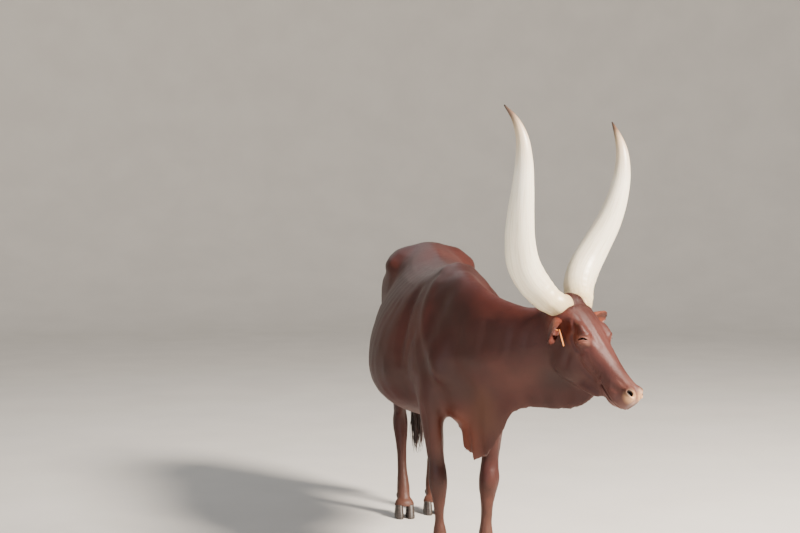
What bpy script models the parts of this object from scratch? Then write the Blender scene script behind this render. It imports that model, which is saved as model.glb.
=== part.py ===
"""A long-horned Ankole cow, standing with her neck turned to her left: life size, one object for each part.

Metres, +Z up, +X the way her body faces, +Y her left side. Positions below are read in a working frame
whose origin lies on the floor under the middle of her barrel. The last step moves everything so that the
origin is the centre of the whole animal's footprint.
"""
import math
import random

import bmesh
import bpy
import numpy as np
from mathutils import Matrix, Vector
from mathutils.bvhtree import BVHTree

GAP = 0.0003
BROAD_VOXEL = 0.012
FLESH_VOXEL = 0.005
TRIANGLES = {"head": 3900, "neck": 1400, "torso": 2600, "foreleg": 360, "hindleg": 400}

# Trunk: height of the back, depth of the chest, and where the legs stand along it
WITHERS_HEIGHT = 1.305
HIP_HEIGHT = 1.375
BELLY_HEIGHT = 0.588
BARREL_WIDTH = 0.69
FORE_FOOT_X = 0.50

# Head: where the crown of the head is, and how the head is turned and tipped
POLL = Vector((1.019, 0.342, 1.176))
HEAD_YAW = math.radians(41)
HEAD_PITCH = math.radians(45)
HEAD_ROLL = math.radians(-3)
HEAD_SCALE = 0.935
EYE_RADIUS = 0.018
EYE_PLACE = Vector((0.193, 0.076, -0.017))
# Degrees that each eye looks up out of the side of the head.
EYE_LEAN = 20
LID_TILT = -43
HEAD_PLANE = -0.105

SIDES = {"left": 1, "right": -1}

COAT = ("coat", (0.19, 0.055, 0.035), 0.45)
HORN = ("horn", (0.86, 0.80, 0.66), 0.35)
HOOF = ("hoof", (0.13, 0.10, 0.085), 0.5)
EYE = ("eye", (0.02, 0.012, 0.01), 0.08)
SWITCH = ("switch_hair", (0.05, 0.02, 0.016), 0.6)
TAG = ("ear_tag", (0.80, 0.36, 0.16), 0.4)


def clear_scene():
    for obj in list(bpy.data.objects):
        bpy.data.objects.remove(obj, do_unlink=True)


def collection(name):
    made = bpy.data.collections.new(name)
    bpy.context.scene.collection.children.link(made)
    return made


def material(finish):
    name, colour, roughness = finish
    found = bpy.data.materials.get(name)
    if found:
        return found
    made = bpy.data.materials.new(name)
    made.use_nodes = True
    shader = made.node_tree.nodes["Principled BSDF"]
    shader.inputs["Base Color"].default_value = (*colour, 1)
    shader.inputs["Roughness"].default_value = roughness
    shader.inputs["Metallic"].default_value = 0
    return made


def object_from(mesh_maker, name, where, finish=COAT):
    """An object in a collection, with its mesh taken from a bmesh."""
    mesh = bpy.data.meshes.new(name)
    mesh_maker.to_mesh(mesh)
    mesh_maker.free()
    obj = bpy.data.objects.new(name, mesh)
    where.objects.link(obj)
    mesh.materials.append(material(finish))
    return obj


# Curves and rings


def smooth_rows(rows, count):
    """A smooth curve through rows of numbers, read at count even steps along their first three numbers."""
    rows = np.array(rows, float)
    steps = np.linalg.norm(np.diff(rows[:, :3], axis=0), axis=1)
    at = np.concatenate([[0], np.cumsum(steps)])
    slopes = np.gradient(rows, at, axis=0)
    wanted = np.linspace(0, at[-1], count)
    span = np.clip(np.searchsorted(at, wanted, side="right") - 1, 0, len(at) - 2)
    width = (at[span + 1] - at[span])[:, None]
    t = ((wanted - at[span])[:, None]) / width
    start, end = rows[span], rows[span + 1]
    return (
        (2 * t**3 - 3 * t**2 + 1) * start
        + (t**3 - 2 * t**2 + t) * width * slopes[span]
        + (3 * t**2 - 2 * t**3) * end
        + (t**3 - t**2) * width * slopes[span + 1]
    )


def ring(centre, side, up, half_width, above, below, top_power=2.0, low_power=2.0, count=32):
    """An egg-shaped ring: half_width to each side, above and below its widest level.

    A power under 2 makes a ridge.
    """
    points = []
    for turn in np.linspace(0, 2 * math.pi, count, endpoint=False):
        across, high = math.cos(turn), math.sin(turn)
        power = top_power if high > 0 else low_power
        reach = above if high > 0 else below
        points.append(
            centre
            + side * (half_width * math.copysign(abs(across) ** (2 / power), across))
            + up * (reach * math.copysign(abs(high) ** (2 / power), high))
        )
    return points


class Forms:
    """Closed forms gathered into one mesh. They may overlap: what needs one skin is remeshed later."""

    def __init__(self):
        self.points = []
        self.faces = []

    def add(self, points, faces):
        first = len(self.points)
        self.points.extend(tuple(p) for p in points)
        self.faces.extend([first + i for i in face] for face in faces)

    def to_object(self, name, where, finish=COAT):
        mesh = bpy.data.meshes.new(name)
        mesh.from_pydata(self.points, [], self.faces)
        obj = bpy.data.objects.new(name, mesh)
        where.objects.link(obj)
        mesh.materials.append(material(finish))
        face_outward(obj)
        return obj


def add_loft(made, rings):
    """A closed skin over rings of equal count, with a flat cap at each end."""
    count = len(rings[0])
    faces = [list(range(count))[::-1], [count * (len(rings) - 1) + i for i in range(count)]]
    for level in range(len(rings) - 1):
        for i in range(count):
            j = (i + 1) % count
            low, high = level * count, (level + 1) * count
            faces.append([low + i, low + j, high + j, high + i])
    made.add([p for points in rings for p in points], faces)


def add_tube(made, rows, count=24, sides=16, reference=Vector((0, 1, 0))):
    """A round or oval limb. A row is x, y, z, half-depth and half-width, which lies along the reference."""
    table = smooth_rows(rows, count)
    centres = [Vector(row[:3]) for row in table]
    rings = []
    for i, row in enumerate(table):
        ahead = centres[min(i + 1, count - 1)] - centres[max(i - 1, 0)]
        depth_way = ahead.cross(reference).normalized()
        width_way = depth_way.cross(ahead).normalized()
        rings.append(ring(centres[i], width_way, depth_way, row[4], row[3], row[3], count=sides))
    add_loft(made, rings)


def add_form(made, centre, radii, turn=(0, 0, 0), frame=Matrix.Identity(4), around=24, levels=15):
    """An egg of muscle, bone or fat, turned by degrees about X, Y and Z."""
    spin = (
        Matrix.Rotation(math.radians(turn[2]), 4, "Z")
        @ Matrix.Rotation(math.radians(turn[1]), 4, "Y")
        @ Matrix.Rotation(math.radians(turn[0]), 4, "X")
    )
    place = frame @ Matrix.Translation(centre) @ spin @ Matrix.Diagonal((*radii, 1))
    points, faces = unit_ball(around, levels)
    made.add([place @ p for p in points], faces)


BALLS = {}


def unit_ball(around, levels):
    """The points and faces of a ball of radius 1, made once for each fineness."""
    if (around, levels) not in BALLS:
        ball = bmesh.new()
        bmesh.ops.create_uvsphere(ball, u_segments=around, v_segments=levels, radius=1)
        ball.verts.ensure_lookup_table()
        points = [v.co.copy() for v in ball.verts]
        BALLS[(around, levels)] = points, [[v.index for v in face.verts] for face in ball.faces]
        ball.free()
    return BALLS[(around, levels)]


def add_pair(made, centre, radii, turn=(0, 0, 0), frame=Matrix.Identity(4)):
    """The same form on both sides, mirrored across the middle."""
    for side in SIDES.values():
        add_form(
            made,
            (centre[0], side * centre[1], centre[2]),
            radii,
            (side * turn[0], turn[1], side * turn[2]),
            frame,
        )


def head_frame():
    """From head space to the working frame. Head space has X down the face, Y her left, Z out of the forehead."""
    return level_frame() @ Matrix.Rotation(HEAD_PITCH, 4, "Y") @ Matrix.Scale(HEAD_SCALE, 4)


def level_frame():
    """From the level frame at the crown (X ahead, Y her left, Z up) to the working frame."""
    return Matrix.Translation(POLL) @ Matrix.Rotation(HEAD_YAW, 4, "Z") @ Matrix.Rotation(HEAD_ROLL, 4, "X")


# The flesh, as overlapping closed forms


def add_trunk(made):
    """Ribs, belly and rump as one loft. A row is x, top, bottom, half-width, level of the greatest width."""
    half = BARREL_WIDTH / 2
    rows = [
        (-0.845, 0, 1.235, 1.08, 0.060, 1.15),
        (-0.805, 0, 1.29, 1.00, 0.125, 1.13),
        (-0.73, 0, HIP_HEIGHT - 0.045, 0.92, 0.185, 1.11),
        (-0.60, 0, HIP_HEIGHT - 0.012, 0.82, 0.225, 1.11),
        (-0.46, 0, HIP_HEIGHT, 0.73, 0.235, 1.08),
        (-0.30, 0, HIP_HEIGHT - 0.025, BELLY_HEIGHT + 0.075, half * 0.86, 0.90),
        (-0.12, 0, WITHERS_HEIGHT + 0.005, BELLY_HEIGHT + 0.01, half * 0.99, 0.84),
        (0.06, 0, WITHERS_HEIGHT - 0.015, BELLY_HEIGHT, half, 0.83),
        (0.22, 0, WITHERS_HEIGHT - 0.012, BELLY_HEIGHT + 0.025, half * 0.88, 0.85),
        (0.36, 0, WITHERS_HEIGHT, BELLY_HEIGHT + 0.06, half * 0.69, 0.89),
        (0.48, 0, WITHERS_HEIGHT - 0.02, BELLY_HEIGHT + 0.10, half * 0.56, 0.93),
        (0.58, 0, 1.20, BELLY_HEIGHT + 0.14, half * 0.46, 0.94),
        (0.67, 0, 1.08, 0.78, half * 0.34, 0.92),
    ]
    ahead, side, up = Vector((1, 0, 0)), Vector((0, 1, 0)), Vector((0, 0, 1))
    rings = []
    for x, _, top, low, wide, level in smooth_rows(rows, 44):
        centre = ahead * x + up * level
        rings.append(ring(centre, side, up, wide, top - level, level - low, 1.8, 2.15, 44))
    add_loft(made, rings)


def add_trunk_forms(made):
    """Shoulder blades, arms, brisket, hips, pin bones and thighs."""
    add_pair(made, (0.400, 0.100, 1.12), (0.090, 0.050, 0.200), (17, -16, 0))
    add_pair(made, (0.395, 0.158, 0.93), (0.150, 0.066, 0.17), (8, 14, 0))
    add_pair(made, (0.590, 0.120, 0.930), (0.070, 0.052, 0.120), (0, -20, 0))
    add_pair(made, (0.455, 0.142, 0.80), (0.120, 0.062, 0.15), (-4, 10, 0))
    add_form(made, (0.36, 0, 1.17), (0.19, 0.100, 0.142))
    add_form(made, (0.545, 0, 0.81), (0.130, 0.115, 0.150), (0, 20, 0))
    add_form(made, (0.54, 0, 0.70), (0.12, 0.080, 0.075))
    add_pair(made, (-0.455, 0.170, 1.240), (0.090, 0.052, 0.066), (-14, 0, 10))
    add_pair(made, (-0.50, 0.105, 1.265), (0.170, 0.110, 0.085), (-20, 4, 0))
    add_pair(made, (-0.790, 0.078, 1.155), (0.065, 0.045, 0.060))
    add_pair(made, (-0.63, 0.118, 1.05), (0.205, 0.100, 0.22), (-6, 10, 0))
    add_pair(made, (-0.56, 0.128, 0.88), (0.195, 0.086, 0.19), (0, 28, 0))
    add_pair(made, (-0.405, 0.150, 0.80), (0.075, 0.056, 0.110), (0, 12, 0))
    add_form(made, (-0.42, 0, 0.86), (0.20, 0.16, 0.14))


def add_foreleg(made, side):
    """From the elbow to the coronet. Her knees stand a little closer together than her shoulders."""
    x, y = FORE_FOOT_X, side
    rows = [
        (x - 0.07, y * 0.135, 0.98, 0.050, 0.030),
        (x - 0.04, y * 0.146, 0.86, 0.105, 0.052),
        (x - 0.02, y * 0.143, 0.74, 0.098, 0.056),
        (x - 0.01, y * 0.134, 0.64, 0.070, 0.050),
        (x, y * 0.124, 0.54, 0.052, 0.043),
        (x + 0.005, y * 0.116, 0.46, 0.044, 0.040),
        (x + 0.008, y * 0.111, 0.40, 0.046, 0.045),
        (x + 0.008, y * 0.108, 0.36, 0.047, 0.045),
        (x + 0.002, y * 0.106, 0.315, 0.038, 0.038),
        (x - 0.002, y * 0.104, 0.26, 0.031, 0.029),
        (x - 0.004, y * 0.102, 0.19, 0.031, 0.028),
        (x - 0.004, y * 0.100, 0.145, 0.038, 0.034),
        (x, y * 0.100, 0.120, 0.039, 0.036),
        (x + 0.014, y * 0.100, 0.090, 0.033, 0.035),
        (x + 0.024, y * 0.100, 0.066, 0.036, 0.041),
        (x + 0.028, y * 0.100, 0.050, 0.036, 0.040),
    ]
    add_tube(made, rows, count=46, sides=18)


def add_hindleg(made, side, foot_x, foot_y):
    """From the stifle past the hock to the coronet."""
    sway = foot_y - side * 0.085
    rows = [
        (-0.47, 0.145, 0.0, 0.86, 0.145, 0.068),
        (-0.50, 0.142, 0.0, 0.76, 0.122, 0.062),
        (foot_x + 0.030, 0.134, 0.15, 0.665, 0.084, 0.050),
        (foot_x - 0.040, 0.120, 0.35, 0.58, 0.056, 0.037),
        (foot_x - 0.088, 0.106, 0.55, 0.515, 0.048, 0.034),
        (foot_x - 0.098, 0.100, 0.65, 0.465, 0.053, 0.040),
        (foot_x - 0.084, 0.096, 0.75, 0.41, 0.044, 0.037),
        (foot_x - 0.066, 0.092, 0.85, 0.34, 0.034, 0.028),
        (foot_x - 0.038, 0.087, 1.0, 0.22, 0.033, 0.027),
        (foot_x - 0.020, 0.085, 1.0, 0.155, 0.039, 0.033),
        (foot_x - 0.010, 0.085, 1.0, 0.125, 0.040, 0.035),
        (foot_x + 0.008, 0.085, 1.0, 0.092, 0.034, 0.034),
        (foot_x + 0.022, 0.085, 1.0, 0.066, 0.036, 0.040),
        (foot_x + 0.026, 0.085, 1.0, 0.050, 0.036, 0.039),
    ]
    limb = [(x, side * y + sway * share, z, deep, wide) for x, y, share, z, deep, wide in rows]
    add_tube(made, limb, count=50, sides=18)
    ham = [
        (-0.775, 0.078, 0.0, 1.12, 0.050, 0.050),
        (-0.765, 0.100, 0.0, 1.00, 0.078, 0.064),
        (-0.735, 0.115, 0.0, 0.89, 0.084, 0.066),
        (foot_x - 0.095, 0.120, 0.15, 0.78, 0.072, 0.055),
        (foot_x - 0.112, 0.116, 0.35, 0.67, 0.046, 0.036),
        (foot_x - 0.128, 0.110, 0.5, 0.585, 0.024, 0.021),
        (foot_x - 0.134, 0.102, 0.65, 0.515, 0.020, 0.019),
        (foot_x - 0.126, 0.100, 0.70, 0.470, 0.018, 0.020),
    ]
    thigh = [(x, side * y + sway * share, z, deep, wide) for x, y, share, z, deep, wide in ham]
    add_tube(made, thigh, count=44, sides=16)


FEET = {
    "fore_left": (FORE_FOOT_X, 0.094),
    "fore_right": (FORE_FOOT_X, -0.100),
    "hind_left": (-0.635, 0.040),
    "hind_right": (-0.565, -0.115),
}


def neck_rows():
    """From inside the chest to under the jaw.

    A row is x, y, middle height, half-width, reach up to the crest, reach of the muscle down, edge of the
    dewlap, sideways sway of the folds there.
    """
    return [
        (0.26, 0.000, 1.02, 0.150, 0.250, 0.27, 0.680, 0.000),
        (0.38, 0.000, 1.02, 0.150, 0.262, 0.27, 0.640, 0.004),
        (0.48, 0.000, 1.02, 0.142, 0.264, 0.26, 0.580, 0.016),
        (0.56, 0.008, 1.02, 0.130, 0.250, 0.25, 0.515, 0.025),
        (0.63, 0.028, 1.02, 0.118, 0.226, 0.24, 0.482, 0.030),
        (0.69, 0.050, 1.02, 0.106, 0.200, 0.23, 0.490, 0.028),
        (0.74, 0.076, 1.02, 0.098, 0.178, 0.22, 0.528, 0.022),
        (0.79, 0.110, 1.02, 0.090, 0.160, 0.21, 0.610, 0.016),
        (0.83, 0.140, 1.02, 0.085, 0.148, 0.20, 0.690, 0.011),
        (0.89, 0.196, 1.02, 0.079, 0.133, 0.18, 0.728, 0.009),
        (0.95, 0.260, 1.04, 0.074, 0.120, 0.17, 0.732, 0.009),
        (1.01, 0.318, 1.06, 0.068, 0.090, 0.17, 0.742, 0.007),
        (1.06, 0.366, 1.04, 0.048, 0.060, 0.15, 0.763, 0.003),
        (1.10, 0.404, 1.00, 0.028, 0.040, 0.12, 0.798, 0.000),
        (1.13, 0.432, 0.97, 0.014, 0.020, 0.08, 0.842, 0.000),
    ]


def neck_section(half, up, down, drop, sway):
    """A drop-shaped ring: round over the crest, full at the sides, thinning to the edge of the dewlap.

    Each point is (across, above the middle). The dewlap sways sideways in folds.
    """
    right, left = [], []
    for i in range(25):
        share = i / 24
        turn = math.pi * share
        high = up * math.cos(turn) if share <= 0.5 else drop * math.cos(turn)
        if high >= 0:
            wide = half * max(0.0, 1 - (high / up) ** 1.9) ** 0.56
        else:
            muscle = half * max(0.0, 1 - (-high / down) ** 2.2) ** 0.5 if -high < down else 0.0
            left_over = max(0.0, 1 + high / drop)
            curtain = (0.009 + (half * 0.70 - 0.009) * left_over**1.25) * min(1.0, left_over / 0.03) ** 0.5
            wide = (muscle**3 + curtain**3) ** (1 / 3)
        fold = sway * max(0.0, -high / drop - 0.25) ** 1.3
        right.append((wide + fold, high))
        left.append((-wide + fold, high))
    return right + left[-2:0:-1]


def add_neck(made):
    """Neck and dewlap as one form. The curtain of skin is deepest before the forelegs, in soft upright folds."""
    count = 84
    table = smooth_rows(neck_rows(), count)
    up = Vector((0, 0, 1))
    rings = []
    for i, row in enumerate(table):
        ahead = Vector(table[min(i + 1, count - 1)][:3]) - Vector(table[max(i - 1, 0)][:3])
        side = up.cross(Vector((ahead.x, ahead.y, 0))).normalized()
        fold = math.sin(i * 0.75 + 0.8 * math.sin(i * 0.21))
        sway = row[7] * fold
        section = neck_section(row[3], row[4], row[5], row[2] - row[6] - 0.25 * sway, sway)
        rings.append([Vector(row[:3]) + side * across + up * high for across, high in section])
    add_loft(made, rings)


# The head, in head space

SKULL_ROWS = [
    # x, level of the greatest width, top, bottom, half-width
    (-0.045, -0.075, -0.028, -0.125, 0.062),
    (-0.020, -0.065, 0.004, -0.150, 0.088),
    (0.020, -0.054, 0.028, -0.185, 0.106),
    (0.080, -0.046, 0.038, -0.218, 0.107),
    (0.140, -0.046, 0.034, -0.236, 0.101),
    (0.190, -0.048, 0.026, -0.236, 0.093),
    (0.240, -0.056, 0.018, -0.218, 0.079),
    (0.300, -0.060, 0.010, -0.188, 0.065),
    (0.360, -0.060, 0.004, -0.160, 0.057),
    (0.420, -0.053, 0.003, -0.135, 0.055),
    (0.465, -0.050, 0.001, -0.123, 0.056),
    (0.495, -0.051, -0.010, -0.110, 0.052),
    (0.513, -0.053, -0.028, -0.093, 0.038),
]


def add_head(made):
    frame = head_frame()
    across, out = Vector((0, 1, 0)), Vector((0, 0, 1))
    rings = []
    rows = [(x, 0, 0, level, top, low, wide) for x, level, top, low, wide in SKULL_ROWS]
    for x, _, _, level, top, low, wide in smooth_rows(rows, 40):
        points = ring(Vector((x, 0, level)), across, out, wide, top - level, level - low, 2.7, 1.75, 32)
        rings.append([frame @ p for p in points])
    add_loft(made, rings)
    add_form(made, (0.004, 0, 0.000), (0.052, 0.086, 0.040), (0, 0, 0), frame)
    add_pair(made, (0.020, 0.066, -0.036), (0.050, 0.038, 0.044), (0, 0, 0), frame)
    add_pair(made, (0.166, 0.080, 0.002), (0.050, 0.020, 0.024), (0, 8, -10), frame)
    add_pair(made, (0.194, 0.069, -0.022), (0.038, 0.027, 0.032), (0, 0, -8), frame)
    add_pair(made, (0.185, 0.056, -0.145), (0.100, 0.033, 0.080), (0, 20, -6), frame)
    add_pair(made, (0.100, 0.060, -0.140), (0.055, 0.028, 0.085), (0, 0, 0), frame)
    add_pair(made, (0.265, 0.058, -0.082), (0.085, 0.014, 0.016), (0, 8, -11), frame)
    add_form(made, (0.452, 0, -0.051), (0.059, 0.059, 0.053), (0, 0, 0), frame)
    add_pair(made, (0.474, 0.034, -0.024), (0.034, 0.026, 0.028), (0, 12, 0), frame)
    add_pair(made, (0.445, 0.038, -0.074), (0.055, 0.024, 0.028), (0, 0, 0), frame)
    add_form(made, (0.440, 0, -0.110), (0.048, 0.040, 0.024), (0, -8, 0), frame)
    add_pair(made, (0.280, 0.030, -0.178), (0.130, 0.018, 0.026), (0, -17, 0), frame)


def nearest_on_path(points, path):
    """Distance from each point to a polyline, and how far along the line its foot lies, 0 to 1."""
    path = np.array(path, float)
    best = np.full(len(points), 1e9)
    along = np.zeros(len(points))
    lengths = np.linalg.norm(np.diff(path, axis=0), axis=1)
    before = np.concatenate([[0], np.cumsum(lengths)])
    for i, length in enumerate(lengths):
        run = path[i + 1] - path[i]
        t = np.clip(((points - path[i]) @ run) / length**2, 0, 1)
        away = np.linalg.norm(points - path[i] - t[:, None] * run, axis=1)
        closer = away < best
        best[closer] = away[closer]
        along[closer] = (before[i] + t[closer] * length) / before[-1]
    return best, along


class Clay:
    """A fine mesh held as arrays, so that it can be eased and pressed before it becomes a node."""

    def __init__(self, obj):
        self.obj = obj
        mesh = obj.data
        self.points = np.empty(len(mesh.vertices) * 3)
        mesh.vertices.foreach_get("co", self.points)
        self.points = self.points.reshape(-1, 3)
        self.edges = np.empty(len(mesh.edges) * 2, np.int64)
        mesh.edges.foreach_get("vertices", self.edges)
        self.edges = self.edges.reshape(-1, 2)
        self.valence = np.bincount(self.edges.ravel(), minlength=len(self.points))

    def store(self):
        self.obj.data.vertices.foreach_set("co", self.points.astype(np.float32).ravel())
        self.obj.data.update()

    def normals(self):
        self.store()
        found = np.empty(len(self.points) * 3, np.float32)
        self.obj.data.vertex_normals.foreach_get("vector", found)
        return found.reshape(-1, 3).astype(float)

    def pull(self):
        """How far each point lies from the mean of its neighbours."""
        total = np.zeros_like(self.points)
        for axis in range(3):
            column = self.points[:, axis]
            total[:, axis] = np.bincount(
                self.edges[:, 0], column[self.edges[:, 1]], len(self.points)
            ) + np.bincount(self.edges[:, 1], column[self.edges[:, 0]], len(self.points))
        return total / self.valence[:, None] - self.points

    def fill_creases(self, rounds):
        """Eases only the hollows where forms meet, so that ridges and thin folds keep their size."""
        for _ in range(rounds):
            normals = self.normals()
            pull = self.pull()
            outward = np.einsum("ij,ij->i", pull, normals)
            self.points += np.where(outward > 0, 0.6, 0.06)[:, None] * pull

    def ease(self, rounds):
        """Smooths without shrinking: each pull inwards is followed by a slightly larger push back."""
        for _ in range(rounds):
            self.points += 0.5 * self.pull()
            self.points -= 0.53 * self.pull()

    def press(self, centre, radii, amount, turn=0.0, frame=Matrix.Identity(4)):
        """Raises, or with a negative amount presses in, an oval patch about a place given in a frame."""
        local = np.array(frame.inverted() @ Matrix.Translation((0, 0, 0)))
        at = self.points @ local[:3, :3].T + local[:3, 3] - np.array(centre)
        spin = math.radians(turn)
        x = at[:, 0] * math.cos(spin) - at[:, 2] * math.sin(spin)
        z = at[:, 0] * math.sin(spin) + at[:, 2] * math.cos(spin)
        reach = (x / radii[0]) ** 2 + (at[:, 1] / radii[1]) ** 2 + (z / radii[2]) ** 2
        self.points += (amount * np.exp(-reach))[:, None] * self.normals()

    def ridge(self, path, width, amount):
        """Raises or presses a soft line along a path of points, fading at its ends."""
        away, along = nearest_on_path(self.points, path)
        fade = np.sin(np.clip(along, 0, 1) * math.pi) ** 0.5
        self.points += (amount * fade * np.exp(-((away / width) ** 2)))[:, None] * self.normals()


def remeshed(made, name, voxel, where):
    """The forms as one closed skin of even cells."""
    obj = made.to_object(name, where)
    step = obj.modifiers.new("remesh", "REMESH")
    step.mode = "VOXEL"
    step.voxel_size = voxel
    graph = bpy.context.evaluated_depsgraph_get()
    mesh = bpy.data.meshes.new_from_object(obj.evaluated_get(graph))
    obj.modifiers.clear()
    obj.data = mesh
    return obj


def thinned(obj, triangles):
    """The same surface in about that many triangles."""
    total = sum(len(p.vertices) - 2 for p in obj.data.polygons)
    step = obj.modifiers.new("thin", "DECIMATE")
    step.ratio = min(1.0, triangles / total)
    graph = bpy.context.evaluated_depsgraph_get()
    mesh = bpy.data.meshes.new_from_object(obj.evaluated_get(graph))
    obj.modifiers.clear()
    obj.data = mesh
    return obj


def add_broad_flesh(made, where):
    """Trunk, thighs, shoulders and neck, run together over wide fillets before the finer parts join them."""
    broad = Forms()
    add_trunk(broad)
    add_trunk_forms(broad)
    add_neck(broad)
    for name, side in SIDES.items():
        add_foreleg(broad, side)
        add_hindleg(broad, side, *FEET[f"hind_{name}"])
    broad = remeshed(broad, "broad_flesh", BROAD_VOXEL, where)
    clay = Clay(broad)
    clay.fill_creases(30)
    clay.ease(2)
    clay.store()
    made.add([v.co.copy() for v in broad.data.vertices], [list(p.vertices) for p in broad.data.polygons])
    bpy.data.objects.remove(broad, do_unlink=True)


def shape_body(clay):
    """Ribs, loin hollows, hip bones, back bone, tendons and folds."""
    for side in SIDES.values():
        for i in range(9):
            top = 0.26 - 0.068 * i
            path = [
                (top, side * 0.10, 1.24),
                (top - 0.03, side * 0.24, 1.12),
                (top - 0.06, side * 0.32, 0.93),
                (top - 0.05, side * 0.30, 0.76),
                (top - 0.01, side * 0.20, 0.66),
            ]
            clay.ridge(path, 0.016, 0.0045)
        clay.press((-0.33, side * 0.21, 1.18), (0.10, 0.16, 0.09), -0.014)
        clay.press((0.56, side * 0.13, 1.13), (0.05, 0.10, 0.14), -0.012, 20)
        hook = [(-0.445, side * 0.23, 1.23), (-0.46, side * 0.14, 1.33), (-0.48, 0, 1.37)]
        pin = [(-0.47, side * 0.2, 1.22), (-0.66, side * 0.19, 1.16), (-0.87, side * 0.10, 1.13)]
        blade = [(0.40, side * 0.09, 1.27), (0.50, side * 0.17, 1.05), (0.60, side * 0.19, 0.92)]
        behind_blade = [(0.28, side * 0.14, 1.22), (0.31, side * 0.22, 1.05), (0.33, side * 0.24, 0.85)]
        before_blade = [(0.50, side * 0.15, 1.16), (0.62, side * 0.16, 1.0), (0.68, side * 0.12, 0.86)]
        throat = [(0.62, side * 0.13, 0.92), (0.80, side * 0.09 + 0.11, 0.93), (0.92, side * 0.08 + 0.22, 0.94)]
        clay.ridge(hook, 0.035, 0.008)
        clay.ridge(pin, 0.04, 0.005)
        clay.ridge(blade, 0.02, 0.007)
        clay.ridge(behind_blade, 0.03, -0.010)
        clay.ridge(before_blade, 0.03, -0.009)
        clay.ridge(throat, 0.025, 0.006)
    clay.ridge([(0.40, 0, 1.30), (0.0, 0, 1.29), (-0.4, 0, 1.35), (-0.85, 0, 1.30)], 0.018, 0.006)


def shape_head(clay):
    """Brow, eye bulge, cheek, nose, nostril rims and lips, in head space."""
    frame = head_frame()
    eye = EYE_PLACE
    for side in SIDES.values():
        clay.press((eye.x, side * 0.097, eye.z), (0.026, 0.03, 0.018), 0.006, LID_TILT, frame)
        brow = (eye.x - 0.016, side * 0.091, eye.z + 0.020)
        clay.press(brow, (0.032, 0.03, 0.011), 0.006, LID_TILT, frame)
        under_eye = (eye.x + 0.022, side * 0.088, eye.z - 0.020)
        clay.press(under_eye, (0.030, 0.03, 0.008), -0.004, LID_TILT, frame)
        clay.press((eye.x + 0.030, side * 0.088, eye.z - 0.010), (0.018, 0.03, 0.014), -0.004, 0, frame)
        clay.press((eye.x + 0.002, side * 0.09, eye.z - 0.036), (0.036, 0.04, 0.011), -0.005, 10, frame)
        clay.press((0.112, side * 0.096, -0.045), (0.026, 0.04, 0.026), -0.008, 0, frame)
        clay.press((0.148, side * 0.100, -0.038), (0.018, 0.03, 0.024), -0.005, 0, frame)
        clay.press((0.100, side * 0.040, 0.030), (0.060, 0.020, 0.03), -0.004, 0, frame)
        clay.press((0.330, side * 0.060, -0.100), (0.055, 0.03, 0.026), -0.007, 12, frame)
        clay.press((0.400, side * 0.050, -0.020), (0.030, 0.03, 0.020), -0.004, 0, frame)
        clay.press((0.488, side * 0.046, -0.014), (0.024, 0.03, 0.018), 0.004, 0, frame)
    clay.press((0.11, 0, 0.035), (0.09, 0.014, 0.03), 0.003, 0, frame)
    clay.press((0.30, 0, 0.010), (0.12, 0.022, 0.03), 0.003, 0, frame)


# Cutters, cuts and joins


def boxed(name, corner_low, corner_high, frame, where):
    """A box between two corners of a frame."""
    made = bmesh.new()
    low, high = Vector(corner_low), Vector(corner_high)
    place = frame @ Matrix.Translation((low + high) / 2) @ Matrix.Diagonal((*(high - low), 1))
    bmesh.ops.create_cube(made, size=1, matrix=place)
    return as_cutter(object_from(made, name, where))


def as_cutter(obj):
    obj.hide_render = True
    obj.display_type = "WIRE"
    return obj


def boolean(obj, other, operation, solver="EXACT"):
    """Applies one Boolean and keeps the result as the object's mesh."""
    step = obj.modifiers.new("join", "BOOLEAN")
    step.operation = operation
    step.solver = solver
    step.object = other
    graph = bpy.context.evaluated_depsgraph_get()
    mesh = bpy.data.meshes.new_from_object(obj.evaluated_get(graph))
    obj.modifiers.clear()
    obj.data = mesh
    return obj


def copied(obj, name, where):
    twin = bpy.data.objects.new(name, obj.data.copy())
    where.objects.link(twin)
    return twin


def swollen(obj, name, amount, where):
    """A copy whose skin stands out by an amount, to cut a neighbour clear of it."""
    twin = copied(obj, name, where)
    made = bmesh.new()
    made.from_mesh(twin.data)
    made.normal_update()
    for vert in made.verts:
        vert.co += vert.normal * amount * vert.calc_shell_factor()
    made.to_mesh(twin.data)
    made.free()
    return as_cutter(twin)


def largest_piece(obj):
    """Keeps only the largest closed surface."""
    made = bmesh.new()
    made.from_mesh(obj.data)
    unseen = set(made.verts)
    islands = []
    while unseen:
        stack = [unseen.pop()]
        island = set(stack)
        while stack:
            for edge in stack.pop().link_edges:
                for vert in edge.verts:
                    if vert in unseen:
                        unseen.discard(vert)
                        island.add(vert)
                        stack.append(vert)
        islands.append(island)
    keep = max(islands, key=len)
    bmesh.ops.delete(made, geom=[v for v in made.verts if v not in keep], context="VERTS")
    made.to_mesh(obj.data)
    made.free()
    return obj


# Horns, ears, eyes, hooves, tail


def horn_rows():
    """Root to tip of one horn: ahead, outward and up from the crown, then radius."""
    return [
        (0.000, 0.034, -0.010, 0.044),
        (-0.006, 0.064, -0.010, 0.048),
        (-0.032, 0.102, 0.010, 0.055),
        (-0.068, 0.145, 0.062, 0.063),
        (-0.086, 0.205, 0.140, 0.066),
        (-0.070, 0.258, 0.230, 0.061),
        (-0.040, 0.300, 0.330, 0.054),
        (-0.014, 0.326, 0.440, 0.044),
        (-0.004, 0.338, 0.540, 0.035),
        (-0.014, 0.344, 0.630, 0.025),
        (-0.045, 0.352, 0.700, 0.0145),
        (-0.084, 0.370, 0.752, 0.004),
    ]


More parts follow.
